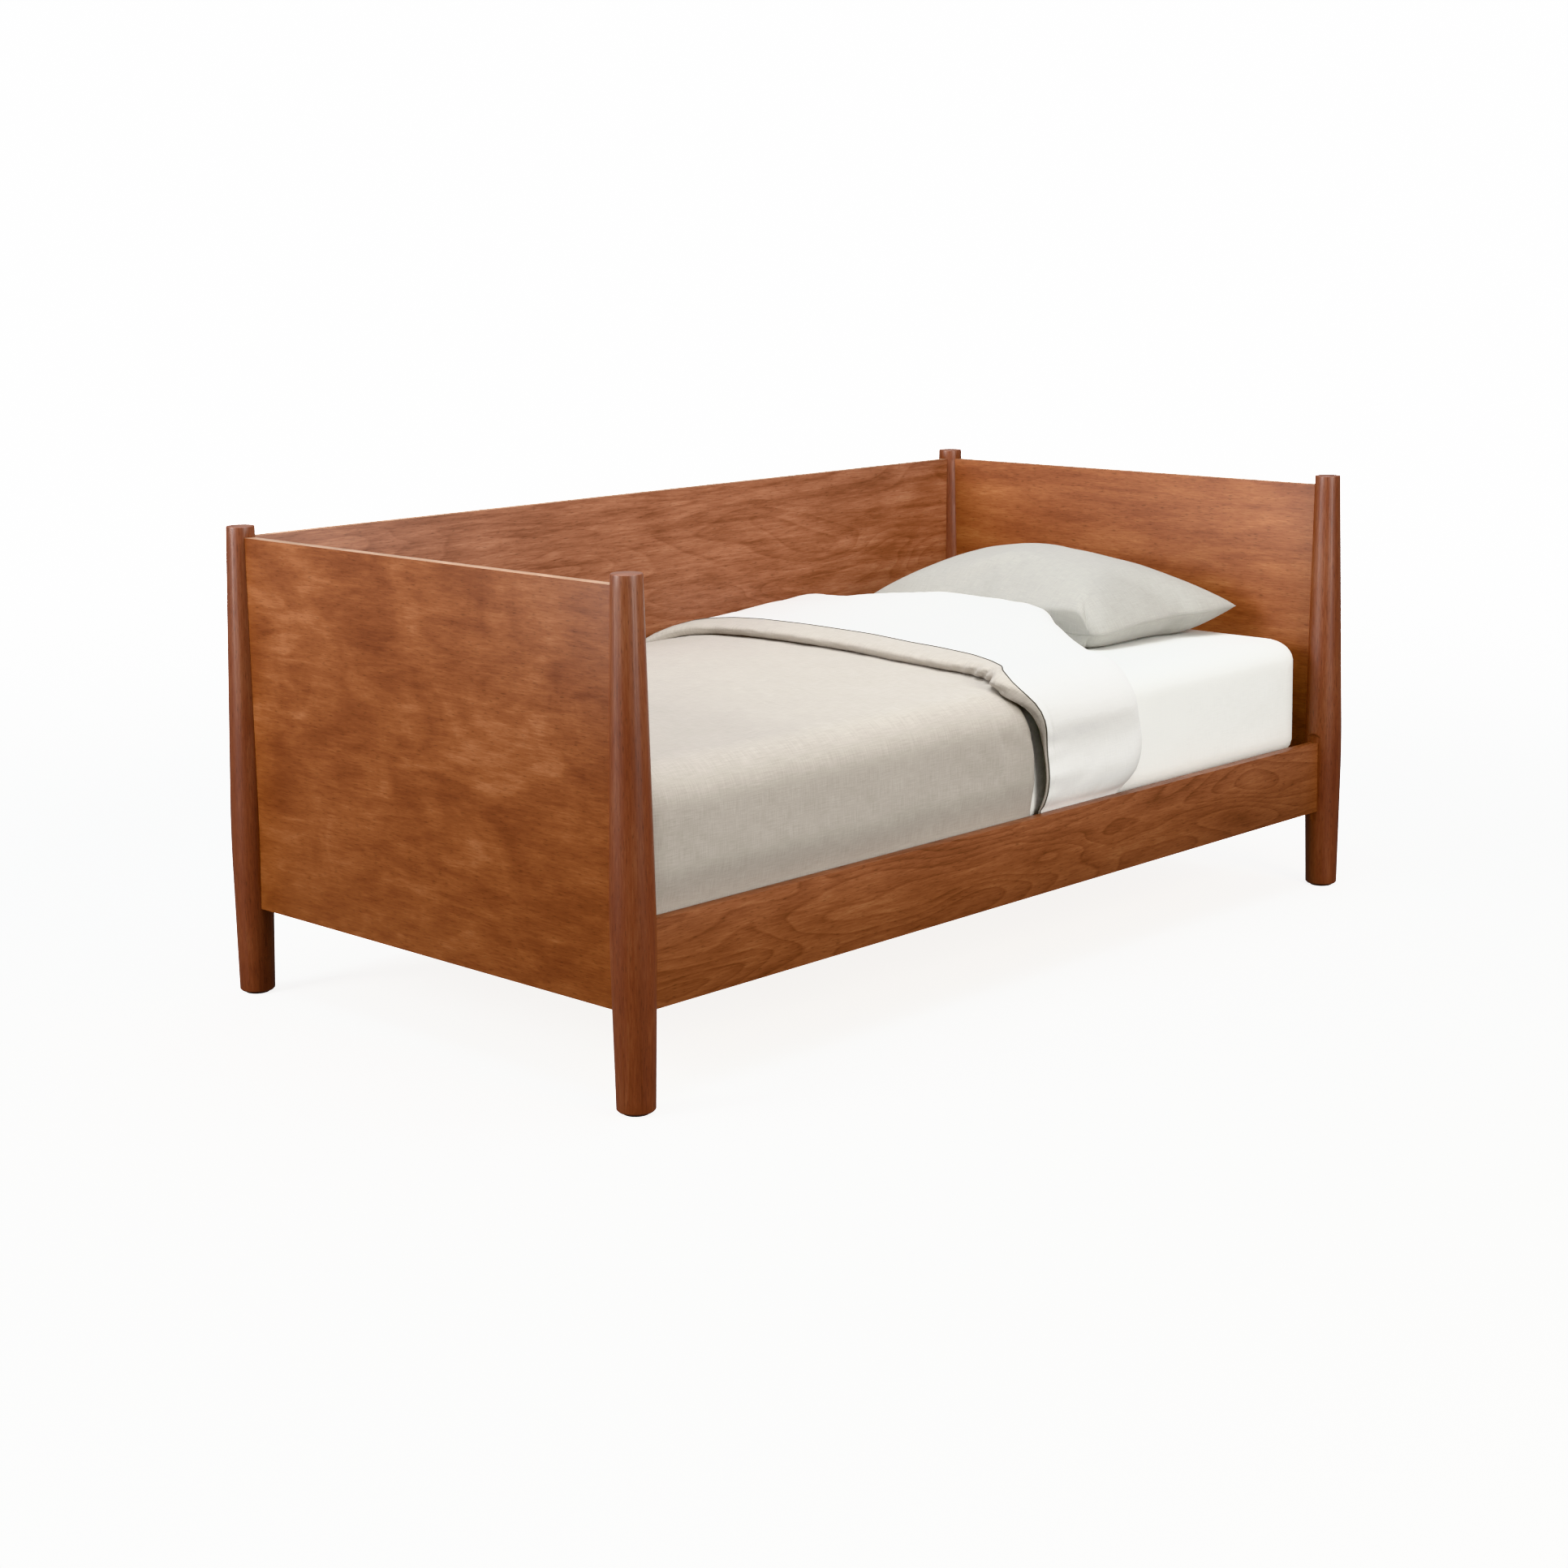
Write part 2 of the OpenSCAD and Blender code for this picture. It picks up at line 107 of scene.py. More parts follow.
# %% [markdown]
# ## Stained wood
#
# The boards are faced with a thin veneer peeled from a log, so the grain runs along the board in fine
# broken fibres, and the surface shimmers in soft clouds where the fibres lean towards or away from the
# light. The stain sinks in unevenly, which makes those clouds browner or redder. Four layers draw that:
# broad clouds, drifting streaks, fine fibres and short open pores. The pattern is stretched along the
# grain by a Mapping node, which is how a flat noise becomes wood.

# %% Stained veneer under satin lacquer
# Fibres come out 2.4 mm apart and pores 1.8 mm apart. Real ones are many times finer, too fine to show from
# four metres away, so they are drawn as coarse as they need to be. YEARS is how many growth rings lie
# between the darkest and the lightest place of the noise that shapes them.
FIBRES_PER_M, PORES_PER_M = 420.0, 560.0
FIBRE_SHARE = 0.34
PORE_FROM, PORE_TO, PORE_SHADE = 0.27, 0.40, 0.66
YEARS = 15.0
YEAR_SHADES = [(0.0, "#000000"), (0.10, "#8a8a8a"), (0.45, "#bcbcbc"), (0.90, "#dcdcdc"), (1.0, "#202020")]
LACQUER_IOR = 1.5


def stained_wood(name, grain, stops, cloud_mm, streak_mm, streaks, stretch, rings=0.0, ring_mm=120,
                 seed=0.0, rough=0.42, gloss=0.25, clouds=1.0):
    """Wood with its grain along the axis number grain. stops are its colours from dark to light."""
    mat, shader = new_material(name, Roughness=rough, IOR=LACQUER_IOR, Specular_IOR_Level=gloss,
                               Coat_Weight=gloss / 4, Coat_Roughness=0.3)
    place = add(mat, "TexCoord").outputs["Object"]

    def stretched(along):
        """Object coordinates pressed together along the grain, so that a pattern on them is drawn out."""
        scale = [1.0, 1.0, 1.0]
        scale[grain] = 1 / along
        mapping = add(mat, "Mapping", {"Location": (seed, seed * 0.7, seed * 1.3), "Scale": scale},
                      {"Vector": place})
        return mapping.outputs["Vector"]

    def patches(size_mm, detail, roughness, distortion, along):
        """Soft noise with patches of the size given, drawn out along the grain."""
        return add(mat, "TexNoise", {"Scale": 1000 / size_mm, "Detail": detail, "Roughness": roughness,
                                     "Distortion": distortion}, {"Vector": stretched(along)})

    cloud = patches(cloud_mm, 4.0, 0.55, 0.7, 1.5)
    drift = patches(streak_mm, 4.0, 0.62, 0.5, stretch)
    fibres = add(mat, "TexNoise", {"Scale": FIBRES_PER_M, "Detail": 2.0, "Roughness": 0.6},
                 {"Vector": stretched(14)})
    pores = add(mat, "TexNoise", {"Scale": PORES_PER_M, "Detail": 1.0}, {"Vector": stretched(9)})
    layers = [(cloud.outputs["Fac"], clouds), (drift.outputs["Fac"], streaks),
              (fibres.outputs["Fac"], FIBRE_SHARE)]
    if rings:
        growth = patches(ring_mm, 1.5, 0.4, 0.4, 5)
        years = add(mat, "Math", {1: YEARS}, {0: growth.outputs["Fac"]}, operation="MULTIPLY")
        ring = add(mat, "Math", links={0: years.outputs[0]}, operation="FRACT")
        line = ramp_stops(add(mat, "ValToRGB", links={"Fac": ring.outputs[0]}), YEAR_SHADES)
        layers.append((line.outputs["Color"], rings))
    tone = None
    for fac, share in layers:
        centred = add(mat, "Math", {1: 0.5}, {0: fac}, operation="SUBTRACT")
        total = add(mat, "Math", {1: share, 2: 0.5}, {0: centred.outputs[0]}, operation="MULTIPLY_ADD")
        if tone:
            mat.node_tree.links.new(tone, total.inputs[2])
        tone = total.outputs[0]
    colour = ramp_stops(add(mat, "ValToRGB", links={"Fac": tone}), stops)
    pore_mask = add(mat, "MapRange", {"From Min": PORE_FROM, "From Max": PORE_TO, "To Min": PORE_SHADE,
                                      "To Max": 1.0}, {"Value": pores.outputs["Fac"]})
    shaded = add(mat, "Mix", {"Factor": 1.0},
                 {"A": colour.outputs["Color"], "B": pore_mask.outputs["Result"]},
                 data_type="RGBA", blend_type="MULTIPLY")
    relief = add(mat, "Math", {1: 0.5}, {0: fibres.outputs["Fac"], 2: pore_mask.outputs["Result"]},
                 operation="MULTIPLY_ADD")
    bump = add(mat, "Bump", {"Strength": 0.10, "Distance": 0.4 * MM}, {"Height": relief.outputs[0]})
    mat.node_tree.links.new(shaded.outputs["Result"], shader.inputs["Base Color"])
    mat.node_tree.links.new(bump.outputs["Normal"], shader.inputs["Normal"])
    return mat


print("stained wood can be mixed")

# %% The woods that show
ALONG_X, ALONG_Y, ALONG_Z = 0, 1, 2
PANEL_TONES = [(0.28, "#683a25"), (0.45, "#7a482e"), (0.57, "#875335"), (0.76, "#9f6a49")]
HEAD_TONES = [(0.30, "#70402b"), (0.45, "#845035"), (0.57, "#935e3e"), (0.74, "#aa754f")]
BACK_TONES = [(0.28, "#643c29"), (0.45, "#7f513b"), (0.58, "#916149"), (0.76, "#a6775c")]
RAIL_TONES = [(0.26, "#57341f"), (0.43, "#784a33"), (0.57, "#8a593e"), (0.75, "#a0704f")]
POST_TONES = [(0.25, "#562818"), (0.48, "#703d26"), (0.75, "#8b5a3f")]

# Peeled veneer, stained and sprayed with satin lacquer: blotchy clouds of brown and red under a broad shine.
end_veneer = stained_wood("stained_veneer_foot", ALONG_Y, PANEL_TONES, 130, 26, 0.50, 5,
                          seed=3.1, clouds=0.72)
# The same veneer from a calmer part of the log: longer streaks and fewer clouds.
head_veneer = stained_wood("stained_veneer_head", ALONG_Y, HEAD_TONES, 200, 34, 0.55, 9,
                           seed=5.9, clouds=0.40)
# Veneer sliced along the log: fine straight streaks, and the faint lines of the growth rings.
back_veneer = stained_wood("stained_veneer_back", ALONG_X, BACK_TONES, 260, 22, 0.60, 14,
                           rings=0.13, ring_mm=130, seed=7.7, clouds=0.45)
# Crown-cut veneer on the rail: the growth rings run out in long pointed arches.
rail_veneer = stained_wood("stained_veneer_rail", ALONG_X, RAIL_TONES, 260, 40, 0.30, 7,
                           rings=0.20, ring_mm=110, seed=1.9, clouds=0.40)
# Solid hardwood, turned, stained darker and lacquered: upright grain with a soft light line on each side.
post_wood = stained_wood("stained_solid_posts", ALONG_Z, POST_TONES, 260, 26, 0.40, 12,
                         seed=5.3, rough=0.44, gloss=0.6, clouds=0.5)
print("stained woods:", [m.name for m in (end_veneer, head_veneer, back_veneer, rail_veneer, post_wood)])

# %% Edge band with painted top light, pine and beech
# Edge band tones, lighter than the face veneer: partly the band's own colour and partly painted light on the
# upward faces.
EDGE_BAND_AND_TOP_LIGHT_TONES = [(0.30, "#8f6a50"), (0.5, "#a48168"), (0.72, "#b6947b")]
PINE_TONES = [(0.30, "#b98c54"), (0.5, "#d3ab72"), (0.72, "#e2c290")]
# A narrow ironed-on strip of veneer that shines a little more; its lighter tones are partly the band's own and
# partly painted light from above on the top edge.
end_edge_band_and_top_light = stained_wood("edge_band_ends_with_painted_top_light", ALONG_Y, EDGE_BAND_AND_TOP_LIGHT_TONES, 90, 30, 0.3, 12, seed=2.3, rough=0.38)
back_edge_band_and_top_light = stained_wood("edge_band_back_with_painted_top_light", ALONG_X, EDGE_BAND_AND_TOP_LIGHT_TONES, 90, 30, 0.3, 12, seed=4.3, rough=0.38)
# Planed softwood with no finish: pale, yellow and dull, with wide streaks.
pine_slats = stained_wood("planed_pine_slats", ALONG_Y, PINE_TONES, 120, 24, 0.7, 12, seed=6.1, rough=0.6)
pine_ledgers = stained_wood("planed_pine_ledgers", ALONG_X, PINE_TONES, 120, 24, 0.7, 12, seed=8.4, rough=0.6)
# Pressed beech pins: short fine fleck, no finish.
beech = stained_wood("fluted_beech_dowels", ALONG_Y, PINE_TONES, 20, 6, 0.5, 8, seed=9.2, rough=0.55)
print("pale woods ready")


# %% Zinc and black plastic
def zinc_plate(name, tint, spangle_mm):
    """Zinc plating on steel: a soft grey metal, slightly clouded by the plating bath."""
    mat, shader = new_material(name, Metallic=1.0)
    place = add(mat, "TexCoord").outputs["Object"]
    cloud = add(mat, "TexNoise", {"Scale": 1000 / spangle_mm, "Detail": 2.0}, {"Vector": place})
    shade = ramp_stops(add(mat, "ValToRGB", links={"Fac": cloud.outputs["Fac"]}),
                       [(0.3, tint), (0.7, "#d2d3cf")])
    rough = add(mat, "MapRange", {"To Min": 0.28, "To Max": 0.46}, {"Value": cloud.outputs["Fac"]})
    mat.node_tree.links.new(shade.outputs["Color"], shader.inputs["Base Color"])
    mat.node_tree.links.new(rough.outputs["Result"], shader.inputs["Roughness"])
    return mat


def moulded_plastic(name, colour, grit_mm):
    """Moulded plastic with a fine spark-eroded texture."""
    mat, shader = new_material(name, Base_Color=srgb(colour), Roughness=0.55, IOR=1.46)
    place = add(mat, "TexCoord").outputs["Object"]
    grit = add(mat, "TexNoise", {"Scale": 1000 / grit_mm, "Detail": 2.0}, {"Vector": place})
    bump = add(mat, "Bump", {"Strength": 0.3, "Distance": 0.1 * MM}, {"Height": grit.outputs["Fac"]})
    mat.node_tree.links.new(bump.outputs["Normal"], shader.inputs["Normal"])
    return mat


# Zinc-plated steel: a soft grey shine with the plating bath's faint clouds; the screws are a little yellower.
zinc_bolts = zinc_plate("zinc_plated_bolts", "#a9aaa6", 6)
zinc_screws = zinc_plate("zinc_plated_screws", "#b4b2a4", 4)
# Moulded polyethylene: near black and dull, with the mould's fine grit.
glide_plastic = moulded_plastic("moulded_black_plastic", "#1d1d1e", 0.6)
print("hidden finishes ready")

# %% [markdown]
# ## Easing the wooden edges
#
# The CAD boards have perfectly sharp corners, and nothing made of wood does: sandpaper takes about a
# millimetre off every edge before the stain goes on, and that tiny round is what catches the light. Each
# CAD node is copied, its loose triangles are merged, its flat faces are joined again and a narrow Bevel
# modifier rounds what is left. The copy then stands for the node.

# %% Copy the wooden nodes and ease their edges
SHARP = math.radians(35)


def make_active(piece):
    """Select one piece and nothing else, so that the next operator acts on it alone."""
    bpy.ops.object.select_all(action="DESELECT")
    piece.select_set(True)
    bpy.context.view_layer.objects.active = piece


def eased_copy(node, name, width, materials, pick=None):
    """A copy of a CAD node with eased edges. pick(face) gives the index of the face's material."""
    piece = nodes[node].copy()
    piece.data = nodes[node].data.copy()
    piece.name = piece.data.name = name
    bpy.context.scene.collection.objects.link(piece)
    mesh = bmesh.new()
    mesh.from_mesh(piece.data)
    bmesh.ops.remove_doubles(mesh, verts=mesh.verts, dist=0.02 * MM)
    bmesh.ops.dissolve_limit(mesh, angle_limit=math.radians(0.4), verts=mesh.verts, edges=mesh.edges)
    mesh.to_mesh(piece.data)
    mesh.free()
    make_active(piece)
    if piece.data.has_custom_normals:
        bpy.ops.mesh.customdata_custom_splitnormals_clear()
    bevel = piece.modifiers.new("eased edges", "BEVEL")
    bevel.width = width
    bevel.segments = 2
    bevel.limit_method = "ANGLE"
    bevel.angle_limit = SHARP
    bevel.harden_normals = False
    bpy.ops.object.modifier_apply(modifier=bevel.name)
    piece.data.materials.clear()
    for mat in materials:
        piece.data.materials.append(mat)
    for face in piece.data.polygons:
        face.material_index = pick(face) if pick else 0
    bpy.ops.object.shade_smooth_by_angle(angle=math.radians(32))
    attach(piece, "bed_frame")
    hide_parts(node)
    return piece


print("edges can be eased")

# %% The four boards and the four posts
PANEL_EASE, RAIL_EASE, POST_EASE = 0.9 * MM, 1.1 * MM, 0.6 * MM


def edge_band_and_lit_top(face):
    """Faces looking up carry the edge band, whose lighter tones are partly painted light from above; everything
    else is face veneer.
    """
    looks_up = face.normal.z > 0.7
    return 1 if looks_up else 0


# Each panel's upward faces take the edge band, which is lighter partly because of painted light from above.
boards = [
    eased_copy("foot_panel", "foot_board", PANEL_EASE, [end_veneer, end_edge_band_and_top_light], edge_band_and_lit_top),
    eased_copy("head_panel", "head_board", PANEL_EASE, [head_veneer, end_edge_band_and_top_light], edge_band_and_lit_top),
    eased_copy("back_panel", "back_board", PANEL_EASE, [back_veneer, back_edge_band_and_top_light], edge_band_and_lit_top),
    eased_copy("front_rail", "front_rail_board", RAIL_EASE, [rail_veneer]),
]
posts = [eased_copy(n, n + "_turned", POST_EASE, [post_wood]) for n in sorted(nodes) if n.startswith("post_")]
print("eased:", [(p.name, len(p.data.polygons)) for p in boards + posts])

# %% Finishes for the CAD nodes that stay
# A word in a node's name says which finish it takes.
KEPT = {"ledger": pine_ledgers, "slat_": pine_slats, "dowels": beech, "glide": glide_plastic,
        "screws": zinc_screws, "inserts": zinc_screws, "studs": zinc_bolts, "washers": zinc_bolts,
        "nuts": zinc_bolts}
for name, obj in nodes.items():
    for word, mat in KEPT.items():
        if word in name:
            obj.data.materials.clear()
            obj.data.materials.append(mat)
print("kept CAD nodes have their finishes")

# %% [markdown]
# ## Woven cloth
#
# The duvet and the pillow are covered in heathered linen: threads of slightly different greys, a little
# thick and thin, crossing at right angles. The reverse of the duvet and the fitted sheet are plain white
# cotton. Real threads are about half a millimetre apart, far too fine to show from four metres away, so
# they are drawn about three times as coarse. The pattern follows each piece's own UV map, which is laid
# out in metres of cloth, so that it bends with the surface as a weave does.

# %% How woven cloth is mixed
# Clouds of shade are about 110 mm across and crumples about 60 mm. MEAN_SHADE is what two crossing threads
# and a cloud add up to on average.
CLOUDS_PER_M, CRUMPLES_PER_M = 9.0, 16.0
CLOUD_SHARE = 0.25
MEAN_SHADE = 1.12


def woven_cloth(name, dark, light, thread_mm, slub, fuzz, relief_mm, crumple=0.0):
    """Plain weave. slub is how much single threads vary in shade, fuzz is the strength of the sheen."""
    mat, shader = new_material(name, Roughness=0.88, IOR=1.45, Sheen_Weight=fuzz, Sheen_Roughness=0.5,
                               Specular_IOR_Level=0.25)
    uv = add(mat, "UVMap", uv_map="cloth").outputs["UV"]
    threads = []
    for run, (across, down) in enumerate(((1.0, 0.05), (0.05, 1.0))):
        mapping = add(mat, "Mapping", {"Scale": (across, down, 1.0), "Location": (run * 3.7, run * 1.9, 0.0)},
                      {"Vector": uv})
        yarn = add(mat, "TexNoise", {"Scale": 1000 / thread_mm, "Detail": 1.5, "Roughness": 0.6},
                   {"Vector": mapping.outputs["Vector"]})
        threads.append(yarn.outputs["Fac"])
    both = add(mat, "Math", links={0: threads[0], 1: threads[1]}, operation="ADD").outputs[0]
    cloud = add(mat, "TexNoise", {"Scale": CLOUDS_PER_M, "Detail": 2.0}, {"Vector": uv}).outputs["Fac"]
    mixed = add(mat, "Math", {1: CLOUD_SHARE}, {0: cloud, 2: both}, operation="MULTIPLY_ADD").outputs[0]
    fac = add(mat, "MapRange", {"From Min": MEAN_SHADE - slub, "From Max": MEAN_SHADE + slub},
              {"Value": mixed})
    shade = ramp_stops(add(mat, "ValToRGB", links={"Fac": fac.outputs["Result"]}),
                       [(0.0, dark), (1.0, light)])
    bump = add(mat, "Bump", {"Strength": 0.35, "Distance": relief_mm * MM}, {"Height": both})
    if crumple:
        folds = add(mat, "TexNoise", {"Scale": CRUMPLES_PER_M, "Detail": 4.0, "Roughness": 0.55,
                                      "Distortion": 0.6}, {"Vector": uv})
        bump = add(mat, "Bump", {"Strength": 0.5, "Distance": crumple * MM},
                   {"Height": folds.outputs["Fac"], "Normal": bump.outputs["Normal"]})
    mat.node_tree.links.new(shade.outputs["Color"], shader.inputs["Base Color"])
    mat.node_tree.links.new(bump.outputs["Normal"], shader.inputs["Normal"])
    return mat


print("cloth can be mixed")

# %% The cloths
# Washed linen in a warm grey: flecked, thick-and-thin threads, quite dull, lightly crumpled.
duvet_linen = woven_cloth("heathered_grey_linen", "#9b948a", "#bcb6ad", 1.6, 0.62, 0.15, 0.3, crumple=1.5)
# The same linen in a cooler grey, drawn smoother by its filling.
pillow_linen = woven_cloth("pale_grey_linen", "#92908a", "#aaa8a1", 1.6, 0.55, 0.15, 0.3, crumple=1.2)
# Plain cotton, close and even: the duvet's white reverse.
duvet_lining = woven_cloth("white_cotton_percale", "#e0e0dd", "#ecece9", 1.6, 0.5, 0.1, 0.2, crumple=2.0)
# Knitted cotton, stretched over the mattress, so that it hardly creases.
sheet_cotton = woven_cloth("white_cotton_jersey", "#e5e6e2", "#f0f1ed", 1.6, 0.5, 0.1, 0.2, crumple=1.5)
# Mattress ticking: a coarse off-white weave.
ticking = woven_cloth("quilted_mattress_ticking", "#dfdcd4", "#efede7", 2.4, 0.3, 0.1, 0.6)
# Twisted cotton cord, dyed dark grey, which draws the line between the duvet's two faces.
piping_cord = woven_cloth("dark_grey_seam_cord", "#4a4741", "#615d56", 1.2, 0.3, 0.1, 0.4)
print("cloth ready")

# %% [markdown]
# ## A cloth form by lofting
#
# The bedding lies across the bed like a thick sheet of pastry over a box: up from the front rail, over the
# mattress edge, across the top and down the back. So each soft form starts as that path across the bed,
# and a closed outline is carried along it, set off from the path by the thickness of the stuffing. The
# result is a clean grid that can carry its own UV map and take wrinkles.

# %% The path across the bed
sheet_low, sheet_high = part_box("fitted_sheet")
rail_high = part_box("front_rail")[1]
duvet_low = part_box("duvet")[0]
panel_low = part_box("back_panel")[0]
REST = 0.5 * MM
STEP = 9 * MM
ARC_STEPS = 12


def across_bed(front_z, back_z, lift, corner):
    """Points (y, z) and outward normals, STEP apart, over the mattress from front to back."""
    y_front, y_back, top = sheet_low.y - lift, sheet_high.y + lift, sheet_high.z + lift
    knots = [(y_front, front_z)]
    for centre_y, centre_z, a0, a1 in ((y_front + corner, top - corner, 180, 90),
                                       (y_back - corner, top - corner, 90, 0)):
        for i in range(ARC_STEPS + 1):
            a = math.radians(a0 + (a1 - a0) * i / ARC_STEPS)
            knots.append((centre_y + corner * math.cos(a), centre_z + corner * math.sin(a)))
    knots.append((y_back, back_z))
    knots = np.array(knots)
    run = np.concatenate([[0], np.cumsum(np.hypot(*np.diff(knots, axis=0).T))])
    s = np.linspace(0, run[-1], int(run[-1] / STEP) + 1)
    points = np.column_stack([np.interp(s, run, knots[:, k]) for k in (0, 1)])
    tangent = np.gradient(points, axis=0)
    tangent /= np.linalg.norm(tangent, axis=1)[:, None]
    return s, points, np.column_stack([-tangent[:, 1], tangent[:, 0]])


def smooth(edge0, edge1, x):
    """0 below edge0, 1 above edge1 and an S-curve between."""
    t = np.clip((np.asarray(x, float) - edge0) / (edge1 - edge0), 0, 1)
    return t * t * (3 - 2 * t)


print("mattress top at", round(sheet_high.z, 3), "rail top at", round(rail_high.z, 3))


# %% The loft along the path
def shade_smooth(data):
    """Let light flow over every face of a mesh."""
    for face in data.polygons:
        face.use_smooth = True


def cloth_mesh(name, rings, uvs, materials, material_of=None):
    """A closed mesh from rings of points, joined one to the next. uvs has one (u, v) per point.

    material_of(j) gives the material's index for the strip of faces that starts at point j of each ring.
    """
    count = len(rings[0])
    verts = [tuple(p) for ring in rings for p in ring]
    faces = []
    for i in range(len(rings) - 1):
        for j in range(count):
            k = (j + 1) % count
            faces.append((i * count + j, i * count + k, (i + 1) * count + k, (i + 1) * count + j))
    last_ring = (len(rings) - 1) * count
    for base in (0, last_ring):
        for j in range(count // 2):
            quad = [base + j, base + j + 1, base + (count - j - 1) % count, base + (count - j) % count]
            quad = list(dict.fromkeys(quad))
            if len(quad) > 2:
                faces.append(tuple(quad))
    data = bpy.data.meshes.new(name)
    data.from_pydata(verts, [], faces)
    layer = data.uv_layers.new(name="cloth")
    flat = [uv for ring in uvs for uv in ring]
    for loop in data.loops:
        layer.data[loop.index].uv = flat[loop.vertex_index]
    for mat in materials:
        data.materials.append(mat)
    if material_of:
        for face in data.polygons:
            face.material_index = material_of(face.index % count if face.index < last_ring else -1)
    shape = bmesh.new()
    shape.from_mesh(data)
    bmesh.ops.recalc_face_normals(shape, faces=shape.faces)
    shape.to_mesh(data)
    shape.free()
    piece = bpy.data.objects.new(name, data)
    bpy.context.scene.collection.objects.link(piece)
    shade_smooth(data)
    return piece


def wander(x, y, size, seed):
    """A soft random height between -1 and 1 at a place on the cloth; size is how broad its waves are."""
    falloff, finer_by, octaves = 0.8, 2.1, 2
    return noise.fractal(Vector((x / size, y / size, seed)), falloff, finer_by, octaves)


print("cloth can be lofted")

# %% [markdown]
# ## The duvet's lower layer
#
# The main part of the duvet is one padded layer in grey linen. It is thin where it is pinched between the
# mattress and the rail, plump along the mattress edge, and plumpest in the middle. Its surface is not
# flat: the filling settles in broad hollows, and the cover pulls into light creases near the edge.

# %% Where the duvet lies
CORNER = 48 * MM
FRONT_START = rail_high.z - 25 * MM
BACK_END = sheet_high.z - 62 * MM
EDGE_RUN = sheet_high.z - CORNER - FRONT_START + CORNER * math.pi / 4
s_path, path, normals = across_bed(FRONT_START, BACK_END, REST, CORNER)

# Each line over the bed is a few places in millimetres: how far past the mattress's front edge, measured
# over the cloth, and how far along the bed. HEM is the seam between grey and white, FACING is how wide the
# grey edge shows, MAIN_END is where the lower layer stops and FOLD is where the duvet turns back.
HEM = [(-216, 56), (-176, 60), (-116, 55), (-80, 48), (-45, 36), (-24, 24), (-9, 6), (6, -18), (25, -4),
       (54, 42), (111, 74), (174, 98), (274, 115), (354, 122), (474, 146), (574, 155), (674, 165),
       (804, 170), (874, 158), (914, 120), (934, 50), (960, 2), (1100, -10)]
FACING = [(-216, 4), (-30, 6), (0, 14), (40, 34), (110, 38), (200, 58), (290, 66), (860, 66), (950, 60),
          (1100, 40)]
MAIN_END = [(-216, 38), (-150, 44), (-100, 42), (-50, 32), (-25, 18), (0, 14), (60, 60), (140, 130),
            (220, 170), (860, 210), (960, 110), (1020, 60), (1100, 40)]
FOLD = [(-216, 290), (-196, 322), (-176, 348), (-146, 360), (-106, 365), (-56, 348), (-10, 326), (56, 335),
        (127, 362), (190, 392), (240, 440), (300, 470), (360, 480), (774, 480), (854, 494), (904, 510),
        (960, 515), (1100, 510)]


def along(line, s):
    """The place along the bed, in metres, of a line at the run s on the path, its corners smoothed."""
    runs = (s - EDGE_RUN) * 1000 + np.linspace(-12, 12, 7)
    return float(np.mean(np.interp(runs, *zip(*line)))) * MM


def kept_clear(y, z):
    """The duvet is squeezed flat where it meets the back panel and where it goes down behind the rail."""
    behind_rail = 1 - float(smooth(rail_high.z + 2 * MM, rail_high.z + 16 * MM, z))
    nearest = rail_high.y + 2.5 * MM
    y = y + behind_rail * max(0.0, nearest - y) if y < nearest else y
    return min(y, panel_low.y - 1.5 * MM)


print("the cloth runs", round(float(s_path[-1]), 3), "m across the bed")

# %% How thick the stuffing is, and what wrinkles it
# Behind the rail, down the side and on top of the mattress, and how much more there is in the middle.
TUCK_T, EDGE_T, TOP_T, CROWN = 9 * MM, 22 * MM, 17 * MM, 9 * MM
THINNEST = 1.5 * MM
UNDERSIDE = 0.2 * MM


def layer_thickness(y, z):
    """Thickness of the stuffing at a place on the path across the bed."""
    above_rail = smooth(rail_high.z - 5 * MM, rail_high.z + 75 * MM, z)
    on_top = smooth(sheet_high.z - 60 * MM, sheet_high.z - 5 * MM, z)
    middle = 1 - (y / sheet_high.y) ** 2
    at_back = 1.0 - 0.45 * smooth(sheet_high.y - 40 * MM, sheet_high.y, y)
    side = TUCK_T + (EDGE_T - TUCK_T) * above_rail
    return (side + on_top * (TOP_T - EDGE_T + CROWN * middle)) * at_back


def rounded_end(distance, radius):
    """How plump a layer is at a distance from its own end: 0 at the end, 1 beyond radius."""
    return np.sqrt(np.clip(1 - np.clip((radius - distance) / radius, 0, 1) ** 2, 0.0009, 1))


def hump(distance, width):
    """1 at no distance, falling softly to 0 over about twice the width."""
    return math.exp(-(distance / width) ** 2)


def valley(x, y, size, seed):
    """Thin lines where the cloth is drawn in: 1 along the line, 0 away from it."""
    narrow = 9
    return (1 - min(1.0, abs(wander(x, y, size, seed)))) ** narrow


print("stuffing at the middle:", round(float(layer_thickness(0.0, sheet_high.z)) * 1000, 1), "mm")

# %% The duvet's lower layer
FOOT_X = duvet_low.x
FINE_FROM = -0.1
COARSE_CELLS, FINE_CELLS = 94, 26
FOOT_ROUND, END_ROUND = 45 * MM, 26 * MM
UNDER_UV = 3.0


def wrinkles(x, s, end):
    """How far the lower layer's face stands off its even thickness, from settled filling and creases."""
    corner = hump(s - EDGE_RUN, 0.07)
    puff = 2.6 * MM * wander(x, s, 0.22, 1.0) + 0.9 * MM * wander(x, s, 0.06, 4.0)
    pull = 1.0 * MM * wander(0.35 * x + 0.9 * s, 0.12 * x, 0.035, 8.0) * corner
    crease = 2.2 * MM * hump(x - end, 0.12) * corner * math.sin(70 * (x + 0.7 * s))
    near_corner = hump(x - end, 0.22) * hump(s - EDGE_RUN + 0.04, 0.11)
    tucks = (0.7 + 2.6 * near_corner) * MM * valley(x + 0.5 * s, 0.6 * s - 0.2 * x, 0.10, 17.0)
    return puff + pull + crease - tucks


